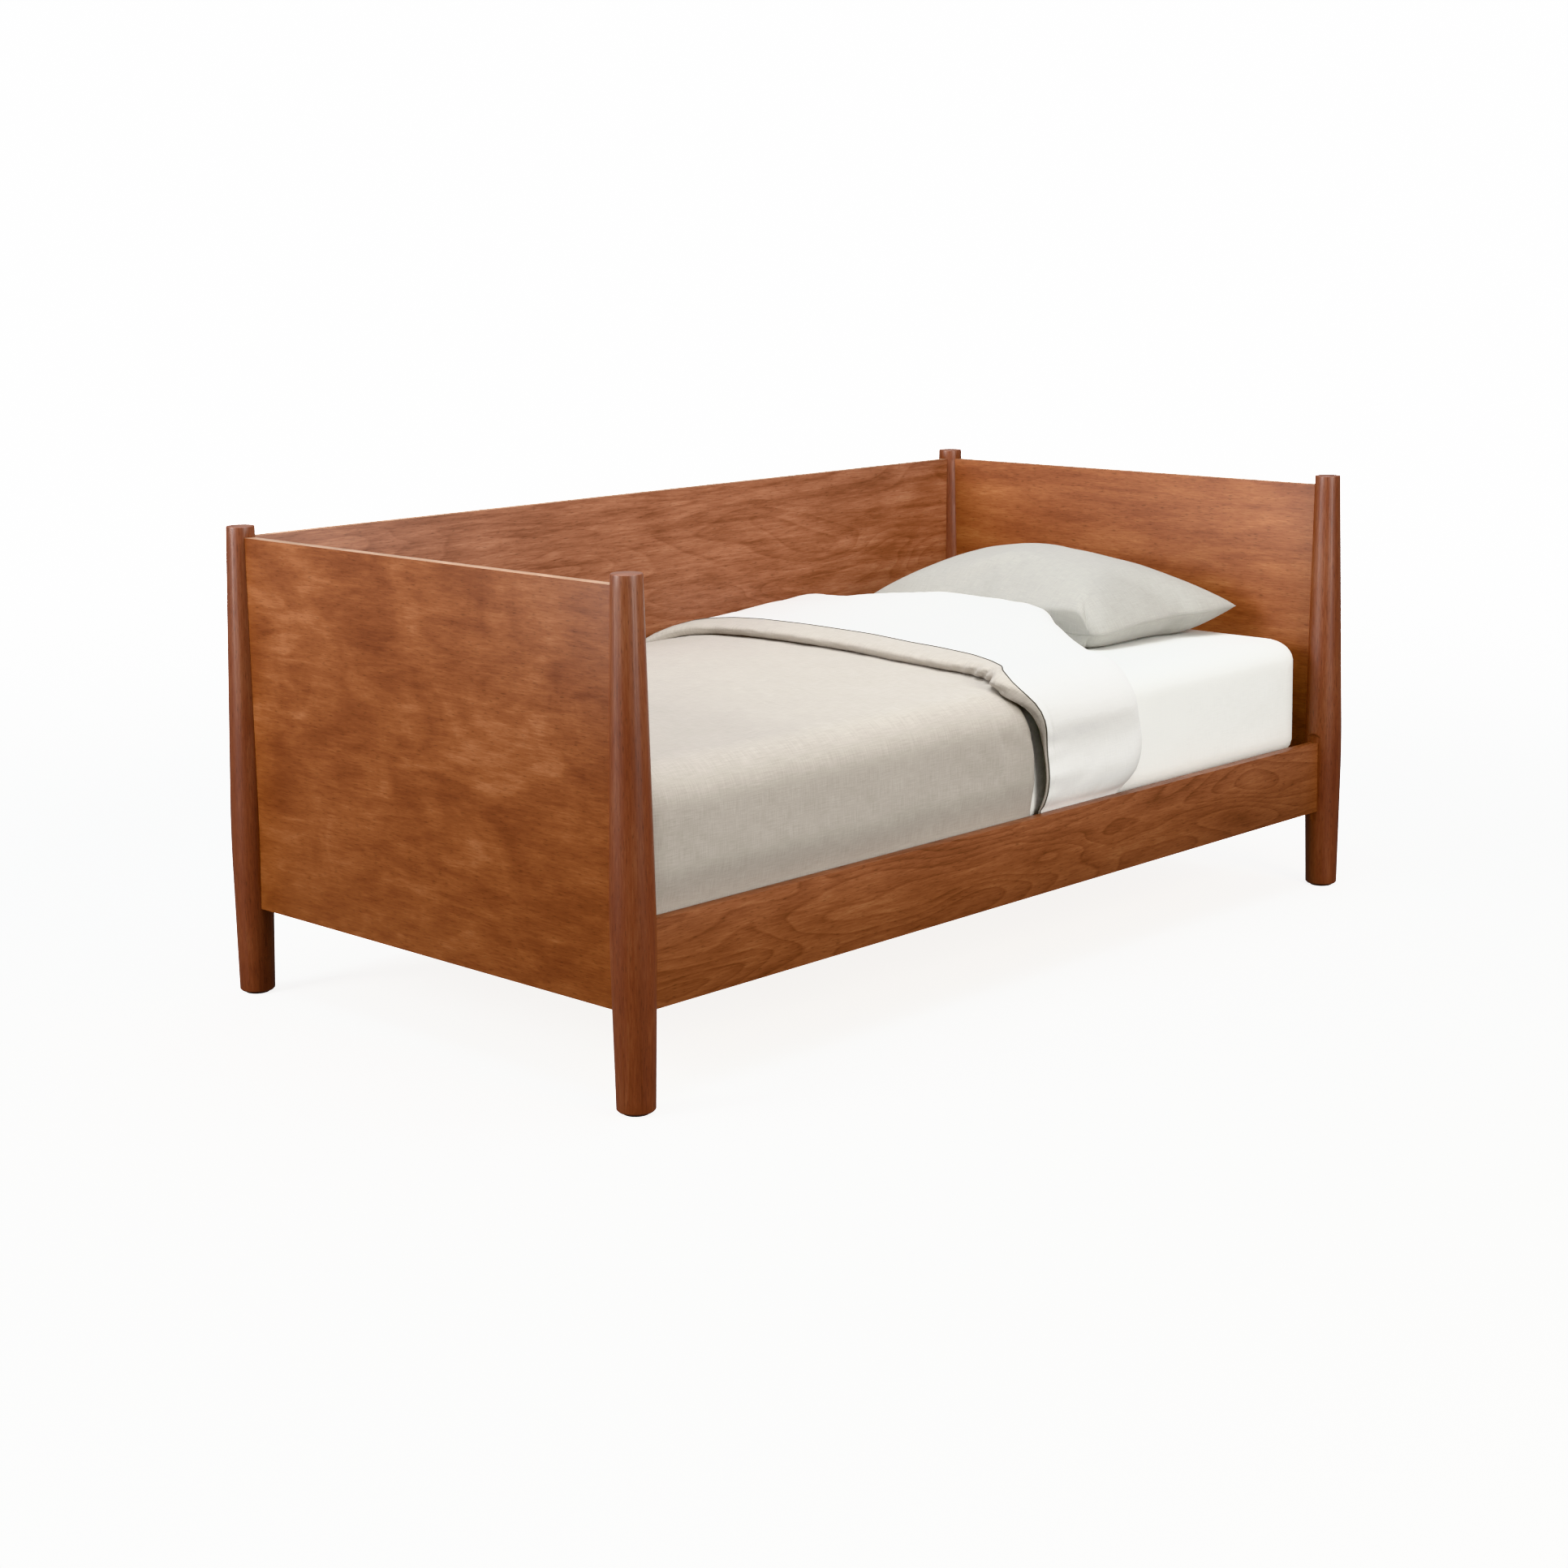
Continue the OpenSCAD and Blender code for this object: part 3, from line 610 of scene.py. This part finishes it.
def lower_layer():
    """The closed form of the duvet's main layer, from the foot to under the turned-back part."""
    rings, uvs = [], []
    for s, (y, z), (ny, nz) in zip(s_path, path, normals):
        end = along(MAIN_END, s)
        fade = min(1.0, (s + 4 * MM) / (20 * MM), (s_path[-1] - s + 4 * MM) / (25 * MM))
        thick = layer_thickness(y, z) * math.sqrt(fade)
        xs = np.concatenate([np.linspace(FOOT_X, FINE_FROM, COARSE_CELLS),
                             np.linspace(FINE_FROM, end, FINE_CELLS)[1:]])
        swell = rounded_end(xs - FOOT_X, FOOT_ROUND) * rounded_end(end - xs, END_ROUND)
        upper = []
        for x, e in zip(xs, swell):
            n = max(THINNEST, thick * e + wrinkles(x, s, end) * e * min(1.0, thick / TOP_T))
            upper.append((x, kept_clear(y + ny * n, z + nz * n), z + nz * n))
        lower = [(x, y + ny * UNDERSIDE, z + nz * UNDERSIDE) for x in xs[1:-1]][::-1]
        rings.append(upper + lower)
        uvs.append([(x, s) for x in xs] + [(x, s + UNDER_UV) for x in xs[1:-1][::-1]])
    return cloth_mesh("duvet_main_layer", rings, uvs, [duvet_linen])


duvet_main = lower_layer()
print("duvet main layer:", len(duvet_main.data.vertices), "points")

# %% [markdown]
# ## The turned-back part
#
# At the head end the duvet is folded back over itself, so its white reverse faces up. Along its hem the
# grey face curls round the stuffing, and a dark seam cord lies between grey and white. Over the front
# edge the fold hangs free, a little off the layer below, and its edge is pressed thin by the hem stitch.
# Each outline across the bed is drawn in four parts: the grey hem, the white face, the round of the fold
# and the way back underneath.

# %% The grey hem and the white face of the turned-back part
# FLAP_T is its thickness on top and HEM_T that of its pressed edge over the side, where it hangs STAND_OFF
# clear of the layer below. The outline has NOSE steps up the hem and BACK_UP steps on its way back.
FLAP_T, HEM_T = 29 * MM, 5 * MM
STAND_OFF = 5 * MM
GAP = 0.8 * MM
FOLD_ROUND = 0.07
NOSE = 16
BACK_UP = 8
STITCH_IN, STITCH_W = 18 * MM, 3 * MM
FLAP_START = rail_high.z - 14 * MM
s_flap, flap_path, flap_normals = across_bed(FLAP_START, sheet_high.z - 52 * MM, REST, CORNER)
flap_runs = s_flap + FLAP_START - FRONT_START


def hem_outline(s, front, facing, thick, base, on_top):
    """The grey hem's outline, from under its nose up to the seam, gathered near the bed's front corner."""
    nose_r = thick / 2
    gather = hump(s - EDGE_RUN - 0.07, 0.09)
    outline = []
    for i in range(NOSE + 1):
        a = math.radians(90 * i / (NOSE / 2))
        reach = nose_r if i < NOSE / 2 else facing
        pucker = on_top * (2.2 * MM * wander(i * 0.06, s, 0.03, 2.0) + 2.4 * MM * wander(0, s, 0.14, 6.0)
                           + 7.5 * MM * gather * math.sin(170 * s + 0.5 * i)
                           + 3.0 * MM * gather * math.sin(85 * s + 1.1))
        x = front + (reach * (1 - math.sin(a))) + pucker * math.sin(a)
        outline.append((x, base + nose_r * (1 - math.cos(a))))
    return outline


def white_height(x, s, seam, fold, on_top, low, middle):
    """How high the white face stands over the layer's even thickness at x."""
    puff = 2.4 * MM * wander(x, s, 0.18, 3.0) + 0.8 * MM * wander(x, s, 0.05, 9.0)
    plump = 12 * MM * float(smooth(seam, fold - 0.05, x)) * (1 - on_top) * low
    stitch = 2.0 * MM * hump(x - seam - STITCH_IN, STITCH_W)
    crease = 1.3 * MM * valley(0.35 * x + 0.9 * s, 0.6 * x - 0.3 * s, 0.12, 13.0)
    edge_pucker = 1.6 * MM * math.sin(150 * s) * hump(x - seam, 45 * MM)
    rise = (STAND_OFF * (1 - on_top) * low) * (1 - float(smooth(seam, seam + 0.12, x)))
    swell = (5 * MM + 42 * MM * middle) * float(smooth(seam + 0.02, fold - 0.06, x)) * on_top
    return rise + plump + swell + puff * (0.4 + 0.6 * on_top) - stitch - crease + edge_pucker * (1 - on_top)


print("the turned-back part has", len(flap_runs), "outlines across the bed")


# %% The turned-back part of the duvet
def turned_back():
    """The closed form of the folded layer. Points 0 to NOSE run up the grey hem, the rest is white."""
    rings, uvs = [], []
    for s, (y, z), (ny, nz) in zip(flap_runs, flap_path, flap_normals):
        on_top = float(smooth(sheet_high.z - 110 * MM, sheet_high.z - 4 * MM, z))
        low = float(smooth(rail_high.z - 15 * MM, rail_high.z + 45 * MM, z))
        over = layer_thickness(y, z) + GAP
        at_back = 1 - 0.12 * float(smooth(sheet_high.y - 60 * MM, sheet_high.y, y))
        thick = (HEM_T + (FLAP_T - HEM_T) * on_top) * at_back
        middle = 1.12 * float(smooth(-0.44, -0.23, y)) * (1 - 0.75 * float(smooth(0.0, 0.46, y)))
        seam, facing, fold = along(HEM, s), along(FACING, s), along(FOLD, s)
        nose = hem_outline(s, seam - facing, facing, thick, over + STAND_OFF * (1 - on_top) * low, on_top)
        shares = np.concatenate([np.linspace(0, 0.16, 15)[1:], np.linspace(0.16, 1, 26)[1:]])
        xs = seam + (fold - FOLD_ROUND - seam) * shares
        top = [(x, over + thick + white_height(x, s, seam, fold, on_top, low, middle)) for x in xs]
        crest = top[-1][1]
        end = [(fold - FOLD_ROUND + FOLD_ROUND * math.sin(a), max(THINNEST, crest * math.cos(a) ** 0.75))
               for a in (math.radians(90 * i / ARC_STEPS) for i in range(1, ARC_STEPS + 1))]
        tuck = max(along(MAIN_END, s), seam) + 0.03
        under = [(x, GAP) for x in np.linspace(fold - 4 * MM, tuck + 6 * MM, 20)]
        back_up = [(x, over) for x in np.linspace(tuck, seam + 10 * MM, BACK_UP)]
        outline = nose + top + end + under + back_up
        rings.append([(x, kept_clear(y + ny * n, z + nz * n), z + nz * n) for x, n in outline])
        run = np.concatenate([[0], np.cumsum(np.hypot(*np.diff(np.array(outline), axis=0).T))])
        uvs.append([(float(r), float(s)) for r in run])
    count = len(rings[0])
    grey = set(range(NOSE)) | set(range(count - BACK_UP - 1, count))
    return cloth_mesh("duvet_turned_back", rings, uvs, [duvet_lining, duvet_linen],
                      lambda j: 1 if j in grey else 0), rings


duvet_fold, fold_rings = turned_back()
print("turned-back part:", len(duvet_fold.data.vertices), "points")


# %% The cord in the seam
def seam_cord(name, points, radius, mat, closed=False):
    """A thin round cord along the points, as a mesh with its own UV map."""
    curve = bpy.data.curves.new(name, "CURVE")
    curve.dimensions = "3D"
    curve.bevel_depth = radius
    curve.bevel_resolution = 2
    curve.use_fill_caps = not closed
    spline = curve.splines.new("POLY")
    spline.points.add(len(points) - 1)
    spline.use_cyclic_u = closed
    for point, place in zip(spline.points, points):
        point.co = (*place, 1)
    holder = bpy.data.objects.new(name, curve)
    bpy.context.scene.collection.objects.link(holder)
    make_active(holder)
    bpy.ops.object.convert(target="MESH")
    holder = bpy.context.object
    layer = holder.data.uv_layers.get("UVMap") or holder.data.uv_layers.new(name="cloth")
    layer.name = "cloth"
    holder.data.materials.clear()
    holder.data.materials.append(mat)
    shade_smooth(holder.data)
    return holder


CORD_RADIUS = 1.4 * MM
duvet_cord = seam_cord("duvet_seam_cord", [ring[NOSE] for ring in fold_rings], CORD_RADIUS, piping_cord)
for piece in (duvet_main, duvet_fold, duvet_cord):
    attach(piece, "duvet")
    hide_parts("duvet")
print("seam cord:", len(duvet_cord.data.polygons), "faces")

# %% [markdown]
# ## The pillow
#
# A pillow is two rectangles of cloth sewn round the edge and stuffed. That is exactly how it is made here:
# a flat envelope is inflated by Blender's Cloth with pressure. The sides pull in and the corners stay
# pointed by themselves. A thin envelope pulls in further than a well filled one, so its outline is then drawn
# part of the way back to its cut. One corner is tucked in, so it is cut round. Then the pillow is turned and
# tipped into its place, and what would sink below the sheet is pressed flat on it.

# %% Sew the pillow
CUT_L, CUT_W, TUCKED_R = 0.70, 0.52, 0.11


def flat_envelope(name, length, width, cell, rise, tucked):
    """Two grids that share their border; the middle starts a little open so that pressure has a way in."""
    nx, ny = int(width / cell), int(length / cell)
    index, verts, faces = {}, [], []
    for side in (1, -1):
        for i in range(nx + 1):
            for j in range(ny + 1):
                if side < 0 and (i in (0, nx) or j in (0, ny)):
                    index[side, i, j] = index[1, i, j]
                    continue
                index[side, i, j] = len(verts)
                dome = math.sin(math.pi * i / nx) * math.sin(math.pi * j / ny)
                x, y = width * (i / nx - 0.5), length * (j / ny - 0.5)
                dx, dy = (-width / 2 + tucked) - x, (-length / 2 + tucked) - y
                if dx > 0 and dy > 0:
                    inward = max(dx, dy) / math.hypot(dx, dy)
                    x, y = (-width / 2 + tucked) - dx * inward, (-length / 2 + tucked) - dy * inward
                verts.append((x, y, side * rise * dome ** 0.5))
        for i in range(nx):
            for j in range(ny):
                quad = [index[side, i + a, j + b] for a, b in ((0, 0), (1, 0), (1, 1), (0, 1))]
                faces.append(quad if side > 0 else quad[::-1])
    border = ([(i, 0) for i in range(nx)] + [(nx, j) for j in range(ny)]
              + [(i, ny) for i in range(nx, 0, -1)] + [(0, j) for j in range(ny, 0, -1)])
    data = bpy.data.meshes.new(name)
    data.from_pydata(verts, [], faces)
    layer = data.uv_layers.new(name="cloth")
    for loop in data.loops:
        layer.data[loop.index].uv = verts[loop.vertex_index][:2]
    shade_smooth(data)
    piece = bpy.data.objects.new(name, data)
    bpy.context.scene.collection.objects.link(piece)
    return piece, [index[1, i, j] for i, j in border]


pillow, pillow_border = flat_envelope("pillow_cased", CUT_L, CUT_W, cell=0.008, rise=0.02, tucked=TUCKED_R)
pillow.data.materials.append(pillow_linen)
cut = np.array([v.co for v in pillow.data.vertices])
print("pillow sewn:", len(cut), "points,", len(pillow_border), "of them in the seam")

# %% Fill the pillow
SQUARENESS = 0.62
CALMING_PASSES = 9


def inflate(piece, pressure, frames, stiffness, bending):
    """Blow a closed cloth form up, then keep the result as its mesh."""
    make_active(piece)
    cloth = piece.modifiers.new("stuffing", "CLOTH")
    cloth.settings.quality = 6
    cloth.settings.mass = 0.25
    cloth.settings.tension_stiffness = cloth.settings.compression_stiffness = stiffness
    cloth.settings.shear_stiffness = stiffness / 3
    cloth.settings.bending_stiffness = bending
    cloth.settings.tension_damping = cloth.settings.compression_damping = 12
    cloth.settings.use_pressure = True
    cloth.settings.uniform_pressure_force = pressure
    cloth.settings.effector_weights.gravity = 0
    cloth.collision_settings.use_collision = False
    cloth.collision_settings.use_self_collision = False
    cloth.point_cache.frame_start, cloth.point_cache.frame_end = 1, frames
    for step in range(1, frames + 1):
        bpy.context.scene.frame_set(step)
    bpy.ops.object.modifier_apply(modifier=cloth.name)
    bpy.context.scene.frame_set(1)


inflate(pillow, pressure=4.0, frames=30, stiffness=12, bending=1.5)
calm = bmesh.new()
calm.from_mesh(pillow.data)
for _ in range(CALMING_PASSES):
    bmesh.ops.smooth_vert(calm, verts=calm.verts, factor=0.5, use_axis_x=True, use_axis_y=True, use_axis_z=True)
calm.to_mesh(pillow.data)
calm.free()
co = np.array([v.co for v in pillow.data.vertices])
cut[:, :2] *= ((co.max(0) - co.min(0)) / (cut.max(0) - cut.min(0)))[:2]
co[:, :2] += SQUARENESS * (cut[:, :2] - co[:, :2])
print("pillow after filling:", np.round(co.max(0) - co.min(0), 3))

# %% Lay the pillow on the mattress
# It lies across the head end, turned by a few degrees, with its head edge and its far end a little raised.
# Its underside flattens within PRESS of the sheet, and TUCK_DROP is how far its tucked corner sinks.
pillow_low, pillow_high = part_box("pillow")
PILLOW_L, PILLOW_W, PILLOW_H = 0.66, 0.455, 0.225
FULLNESS = 0.82
PILLOW_PLACE = Vector((0.727, 0.012, 58 * MM))
ROLL_X, TILT_Y, TURN_Z = math.radians(2.2), math.radians(-3.5), math.radians(-6.5)
PRESS = 7 * MM
TUCK_DROP = 16 * MM
DUVET_GAP, HEAD_SLACK, GIVE = 3 * MM, 20 * MM, 7 * MM


def soft_limit(value, low, high, give):
    """Keep a value between two limits, with a soft bend of the size give at each."""
    value = low + give * math.log1p(math.exp(min((value - low) / give, 60.0)))
    return high - give * math.log1p(math.exp(min((high - value) / give, 60.0)))


def lay_pillow(piece):
    """Scale the filled form to its real size, tip it into its place and press it flat where it rests."""
    scale = np.array([PILLOW_W, PILLOW_L, PILLOW_H]) / (co.max(0) - co.min(0))
    turn = Euler((ROLL_X, TILT_Y, TURN_Z)).to_matrix()
    for v, start in zip(piece.data.vertices, co):
        p = Vector(start * scale)
        p.z = math.copysign(PILLOW_H / 2 * abs(2 * p.z / PILLOW_H) ** FULLNESS, p.z)
        p.z += 3 * MM * wander(p.x, p.y, 0.16, 11.0) * (1 if p.z > 0 else 0)
        tucked = max(0.0, -2 * p.x / PILLOW_W) ** 2 * max(0.0, -2 * p.y / PILLOW_L) ** 2
        p = turn @ p + PILLOW_PLACE - Vector((0, 0, TUCK_DROP * tucked))
        above = REST + PRESS * math.log1p(math.exp(p.z / PRESS))
        x = soft_limit(p.x, pillow_low.x + DUVET_GAP, pillow_high.x + HEAD_SLACK, GIVE)
        v.co = Vector((x, p.y, sheet_high.z + above))
    subdivision = piece.modifiers.new("smooth cloth", "SUBSURF")
    subdivision.levels = subdivision.render_levels = 1
    make_active(piece)
    bpy.ops.object.modifier_apply(modifier=subdivision.name)


lay_pillow(pillow)
SEAM_RADIUS = 0.8 * MM
pillow_seam = seam_cord("pillow_seam", [pillow.data.vertices[i].co[:] for i in pillow_border], SEAM_RADIUS,
                        pillow_linen, closed=True)
for piece in (pillow, pillow_seam):
    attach(piece, "pillow")
    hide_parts("pillow")
ends = np.array([v.co for v in pillow.data.vertices])
print("pillow spans", np.round(ends.min(0), 3), np.round(ends.max(0), 3))

# %% [markdown]
# ## Mattress and fitted sheet
#
# The mattress is a sprung slab covered in ticking. The fitted sheet is pulled over it and held by elastic
# under the edge, so it is smooth on top, softly rounded along its edges and
# drawn in a little along the sides. Both start as a cube that is cut into even cells and then pushed onto
# a rounded shape: each point near an edge slides onto the arc that it belongs to.

# %% A rounded slab with even faces
def rounded_slab(name, low, high, radii, cell, waist, seed, open_below=None):
    """A block of even cells, rounded by the radii along X, Y and Z.

    waist draws the middle of its sides in. open_below opens its underside, all but a border that wide.
    """
    bpy.ops.object.select_all(action="DESELECT")
    bpy.ops.mesh.primitive_cube_add(size=1)
    piece = bpy.context.object
    piece.name = piece.data.name = name
    shape = bmesh.new()
    shape.from_mesh(piece.data)
    size, centre = high - low, (high + low) / 2
    for v in shape.verts:
        v.co = Vector((v.co.x * size.x, v.co.y * size.y, v.co.z * size.z)) + centre
    for axis in range(3):
        cuts = max(1, int(size[axis] / cell))
        for i in range(1, cuts):
            spot, way = Vector(centre), Vector((0, 0, 0))
            spot[axis] = low[axis] + size[axis] * i / cuts
            way[axis] = 1
            bmesh.ops.bisect_plane(shape, geom=shape.verts[:] + shape.edges[:] + shape.faces[:],
                                   plane_co=spot, plane_no=way)
    for v in shape.verts:
        p = np.array(v.co - centre)
        inner = np.clip(p, -(np.array(size) / 2 - radii), np.array(size) / 2 - radii)
        lean = (p - inner) / radii
        length = np.linalg.norm(lean)
        if length > 0:
            p = inner + lean * (np.abs(lean).max() / length) * radii
        side = max(abs(p[0]) - size.x / 2, abs(p[1]) - size.y / 2)
        draw = waist * (1 - (2 * p[2] / size.z) ** 2) + 1.0 * MM * wander(p[0] + p[1], p[2], 0.10, seed)
        if side > -2 * MM:
            axis = 0 if abs(p[0]) - size.x / 2 > abs(p[1]) - size.y / 2 else 1
            p[axis] -= math.copysign(max(0.0, draw), p[axis])
        v.co = Vector(p) + centre
    if open_below is not None:
        gone = [f for f in shape.faces if f.normal.z < -0.7
                and min(size.x / 2 - abs(f.calc_center_median().x - centre.x),
                        size.y / 2 - abs(f.calc_center_median().y - centre.y)) > open_below]
        bmesh.ops.delete(shape, geom=gone, context="FACES")
    shape.to_mesh(piece.data)
    shape.free()
    shade_smooth(piece.data)
    return piece


print("slabs can be rounded")


# %% Cloth coordinates for a slab
def box_uv(piece):
    """Cloth coordinates in metres, laid on from the side that each face looks to."""
    layer = piece.data.uv_layers.get("UVMap") or piece.data.uv_layers.new(name="cloth")
    layer.name = "cloth"
    for face in piece.data.polygons:
        n = [abs(c) for c in face.normal]
        drop = n.index(max(n))
        keep = [a for a in range(3) if a != drop]
        for loop in face.loop_indices:
            p = piece.data.vertices[piece.data.loops[loop].vertex_index].co
            layer.data[loop].uv = (p[keep[0]], p[keep[1]])


print("slabs can be covered")

# %% The mattress
mattress_low, mattress_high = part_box("mattress")
ROUNDING = np.array((62, 62, 46)) * MM
inset = Vector((4, 4, 2)) * MM
block = rounded_slab("sprung_mattress", mattress_low + inset, mattress_high - inset, ROUNDING,
                     cell=0.03, waist=0.0, seed=21.0)
box_uv(block)
block.data.materials.append(ticking)
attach(block, "mattress_set")
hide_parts("mattress")
print("mattress:", len(block.data.polygons), "faces")

# %% The fitted sheet
COTTON_T = 1.0 * MM
TURNED_UNDER = 0.06
sheet = rounded_slab("fitted_sheet_cotton", sheet_low, sheet_high, ROUNDING,
                     cell=0.014, waist=1.2 * MM, seed=31.0, open_below=TURNED_UNDER)
box_uv(sheet)
sheet.data.materials.append(sheet_cotton)
wall = sheet.modifiers.new("cloth thickness", "SOLIDIFY")
wall.thickness = COTTON_T
wall.offset = -1
make_active(sheet)
bpy.ops.object.modifier_apply(modifier=wall.name)
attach(sheet, "mattress_set")
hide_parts("fitted_sheet")
print("fitted sheet:", len(sheet.data.polygons), "faces")

# %% [markdown]
# ## Camera, floor and light
#
# The bed stands on a pale floor in a white room. It is lit as furniture is lit in a studio: one broad
# softbox overhead, so that the tops of the bedding are the brightest thing, and one large softbox on each
# side, so that every post has two light edges and a darker middle. The floor glows a little, more with
# distance, so that it runs into the white backdrop without a horizon. It is kept from throwing light back
# up, as a studio's black flags do, so the undersides stay deep.

# %% Camera
# It stands well off the bed's front foot corner, at about chest height, and looks slightly down.
CAMERA_PLACE = Vector((-3.802, -3.552, 1.4115))
YAW, PITCH, ROLL = math.radians(46.14), math.radians(7.98), math.radians(-0.59)
SENSOR_MM, LENS_MM, SHIFT_DOWN = 36, 62.07, -0.1223
camera = bpy.data.objects.new("camera", bpy.data.cameras.new("camera"))
bpy.context.scene.collection.objects.link(camera)
forward = Vector((math.sin(YAW) * math.cos(PITCH), math.cos(YAW) * math.cos(PITCH), -math.sin(PITCH)))
right = Vector((math.cos(YAW), -math.sin(YAW), 0.0))
up = right.cross(forward)
right, up = right * math.cos(ROLL) + up * math.sin(ROLL), up * math.cos(ROLL) - right * math.sin(ROLL)
camera.matrix_world = Matrix.Translation(CAMERA_PLACE) @ Matrix((right, up, -forward)).transposed().to_4x4()
camera.data.sensor_width = SENSOR_MM
camera.data.lens = LENS_MM
camera.data.shift_y = SHIFT_DOWN
bpy.context.scene.camera = camera
print("camera at", tuple(round(c, 2) for c in CAMERA_PLACE))

# %% Floor
# Matt white paper, rolled out under the bed: no shine at all. Its glow grows from GLOW_FROM metres out.
FLOOR_SIZE = 60
GLOW_FROM, GLOW_TO, GLOW_LOW, GLOW_HIGH = 1.6, 7.0, 1.0, 9.0
bpy.ops.object.select_all(action="DESELECT")
bpy.ops.mesh.primitive_plane_add(size=FLOOR_SIZE)
floor = bpy.context.object
floor.name = "studio_floor"
floor_mat, floor_shader = new_material("matt_white_paper", Base_Color=srgb("#f4f4f2"), Roughness=0.9,
                                       Emission_Color=(1, 1, 1, 1))
floor_place = add(floor_mat, "TexCoord").outputs["Object"]
reach = add(floor_mat, "VectorMath", links={0: floor_place}, operation="LENGTH")
glow = add(floor_mat, "MapRange", {"From Min": GLOW_FROM, "From Max": GLOW_TO, "To Min": GLOW_LOW,
                                   "To Max": GLOW_HIGH},
           {"Value": reach.outputs["Value"]}, interpolation_type="SMOOTHSTEP")
floor_mat.node_tree.links.new(glow.outputs["Result"], floor_shader.inputs["Emission Strength"])
floor.data.materials.append(floor_mat)
floor.visible_diffuse = False
floor.visible_glossy = False
print("floor laid")

# %% World
HORIZON = 0.15
LIGHT_FROM_BELOW, LIGHT_FROM_ABOVE, BACKDROP_GLOW = 0.22, 0.55, 10.0
bpy.context.scene.view_settings.view_transform = "Khronos PBR Neutral"
world = bpy.data.worlds.new("studio")
bpy.context.scene.world = world
world.use_nodes = True
sky = world.node_tree
direction = sky.nodes.new("ShaderNodeTexCoord")
height = sky.nodes.new("ShaderNodeSeparateXYZ")
sky.links.new(direction.outputs["Generated"], height.inputs[0])
level = sky.nodes.new("ShaderNodeMapRange")
for socket, value in (("From Min", -HORIZON), ("From Max", HORIZON), ("To Min", LIGHT_FROM_BELOW),
                      ("To Max", LIGHT_FROM_ABOVE)):
    level.inputs[socket].default_value = value
sky.links.new(height.outputs["Z"], level.inputs["Value"])
rays = sky.nodes.new("ShaderNodeLightPath")
seen = sky.nodes.new("ShaderNodeMix")
seen.inputs["B"].default_value = BACKDROP_GLOW
sky.links.new(rays.outputs["Is Camera Ray"], seen.inputs["Factor"])
sky.links.new(level.outputs["Result"], seen.inputs["A"])
backdrop = sky.nodes["Background"]
backdrop.inputs["Color"].default_value = (1, 1, 1, 1)
sky.links.new(seen.outputs["Result"], backdrop.inputs["Strength"])
print("backdrop hung")


# %% Three softboxes
def soft_light(name, place, aim, size, power, tint=(1.0, 1.0, 1.0)):
    """A softbox at place, turned to aim."""
    light = bpy.data.objects.new(name, bpy.data.lights.new(name, "AREA"))
    light.data.shape = "RECTANGLE"
    light.data.size, light.data.size_y = size
    light.data.energy = power
    light.data.color = tint
    light.location = place
    light.rotation_euler = (Vector(aim) - Vector(place)).to_track_quat("-Z", "Y").to_euler()
    bpy.context.scene.collection.objects.link(light)
    return light


soft_light("overhead_softbox", (-0.4, -0.3, 4.4), (0.0, 0.0, 0.5), (4.0, 3.2), 182, (0.96, 1.0, 1.05))
soft_light("left_softbox", (-4.6, 1.4, 2.2), (-0.3, 0.0, 0.5), (1.8, 2.4), 215)
soft_light("front_softbox", (-0.5, -4.9, 2.3), (0.0, 0.0, 0.5), (1.8, 2.4), 168, (1.04, 1.0, 0.95))
print("studio lit")

# %% End of the build
print("scene built")
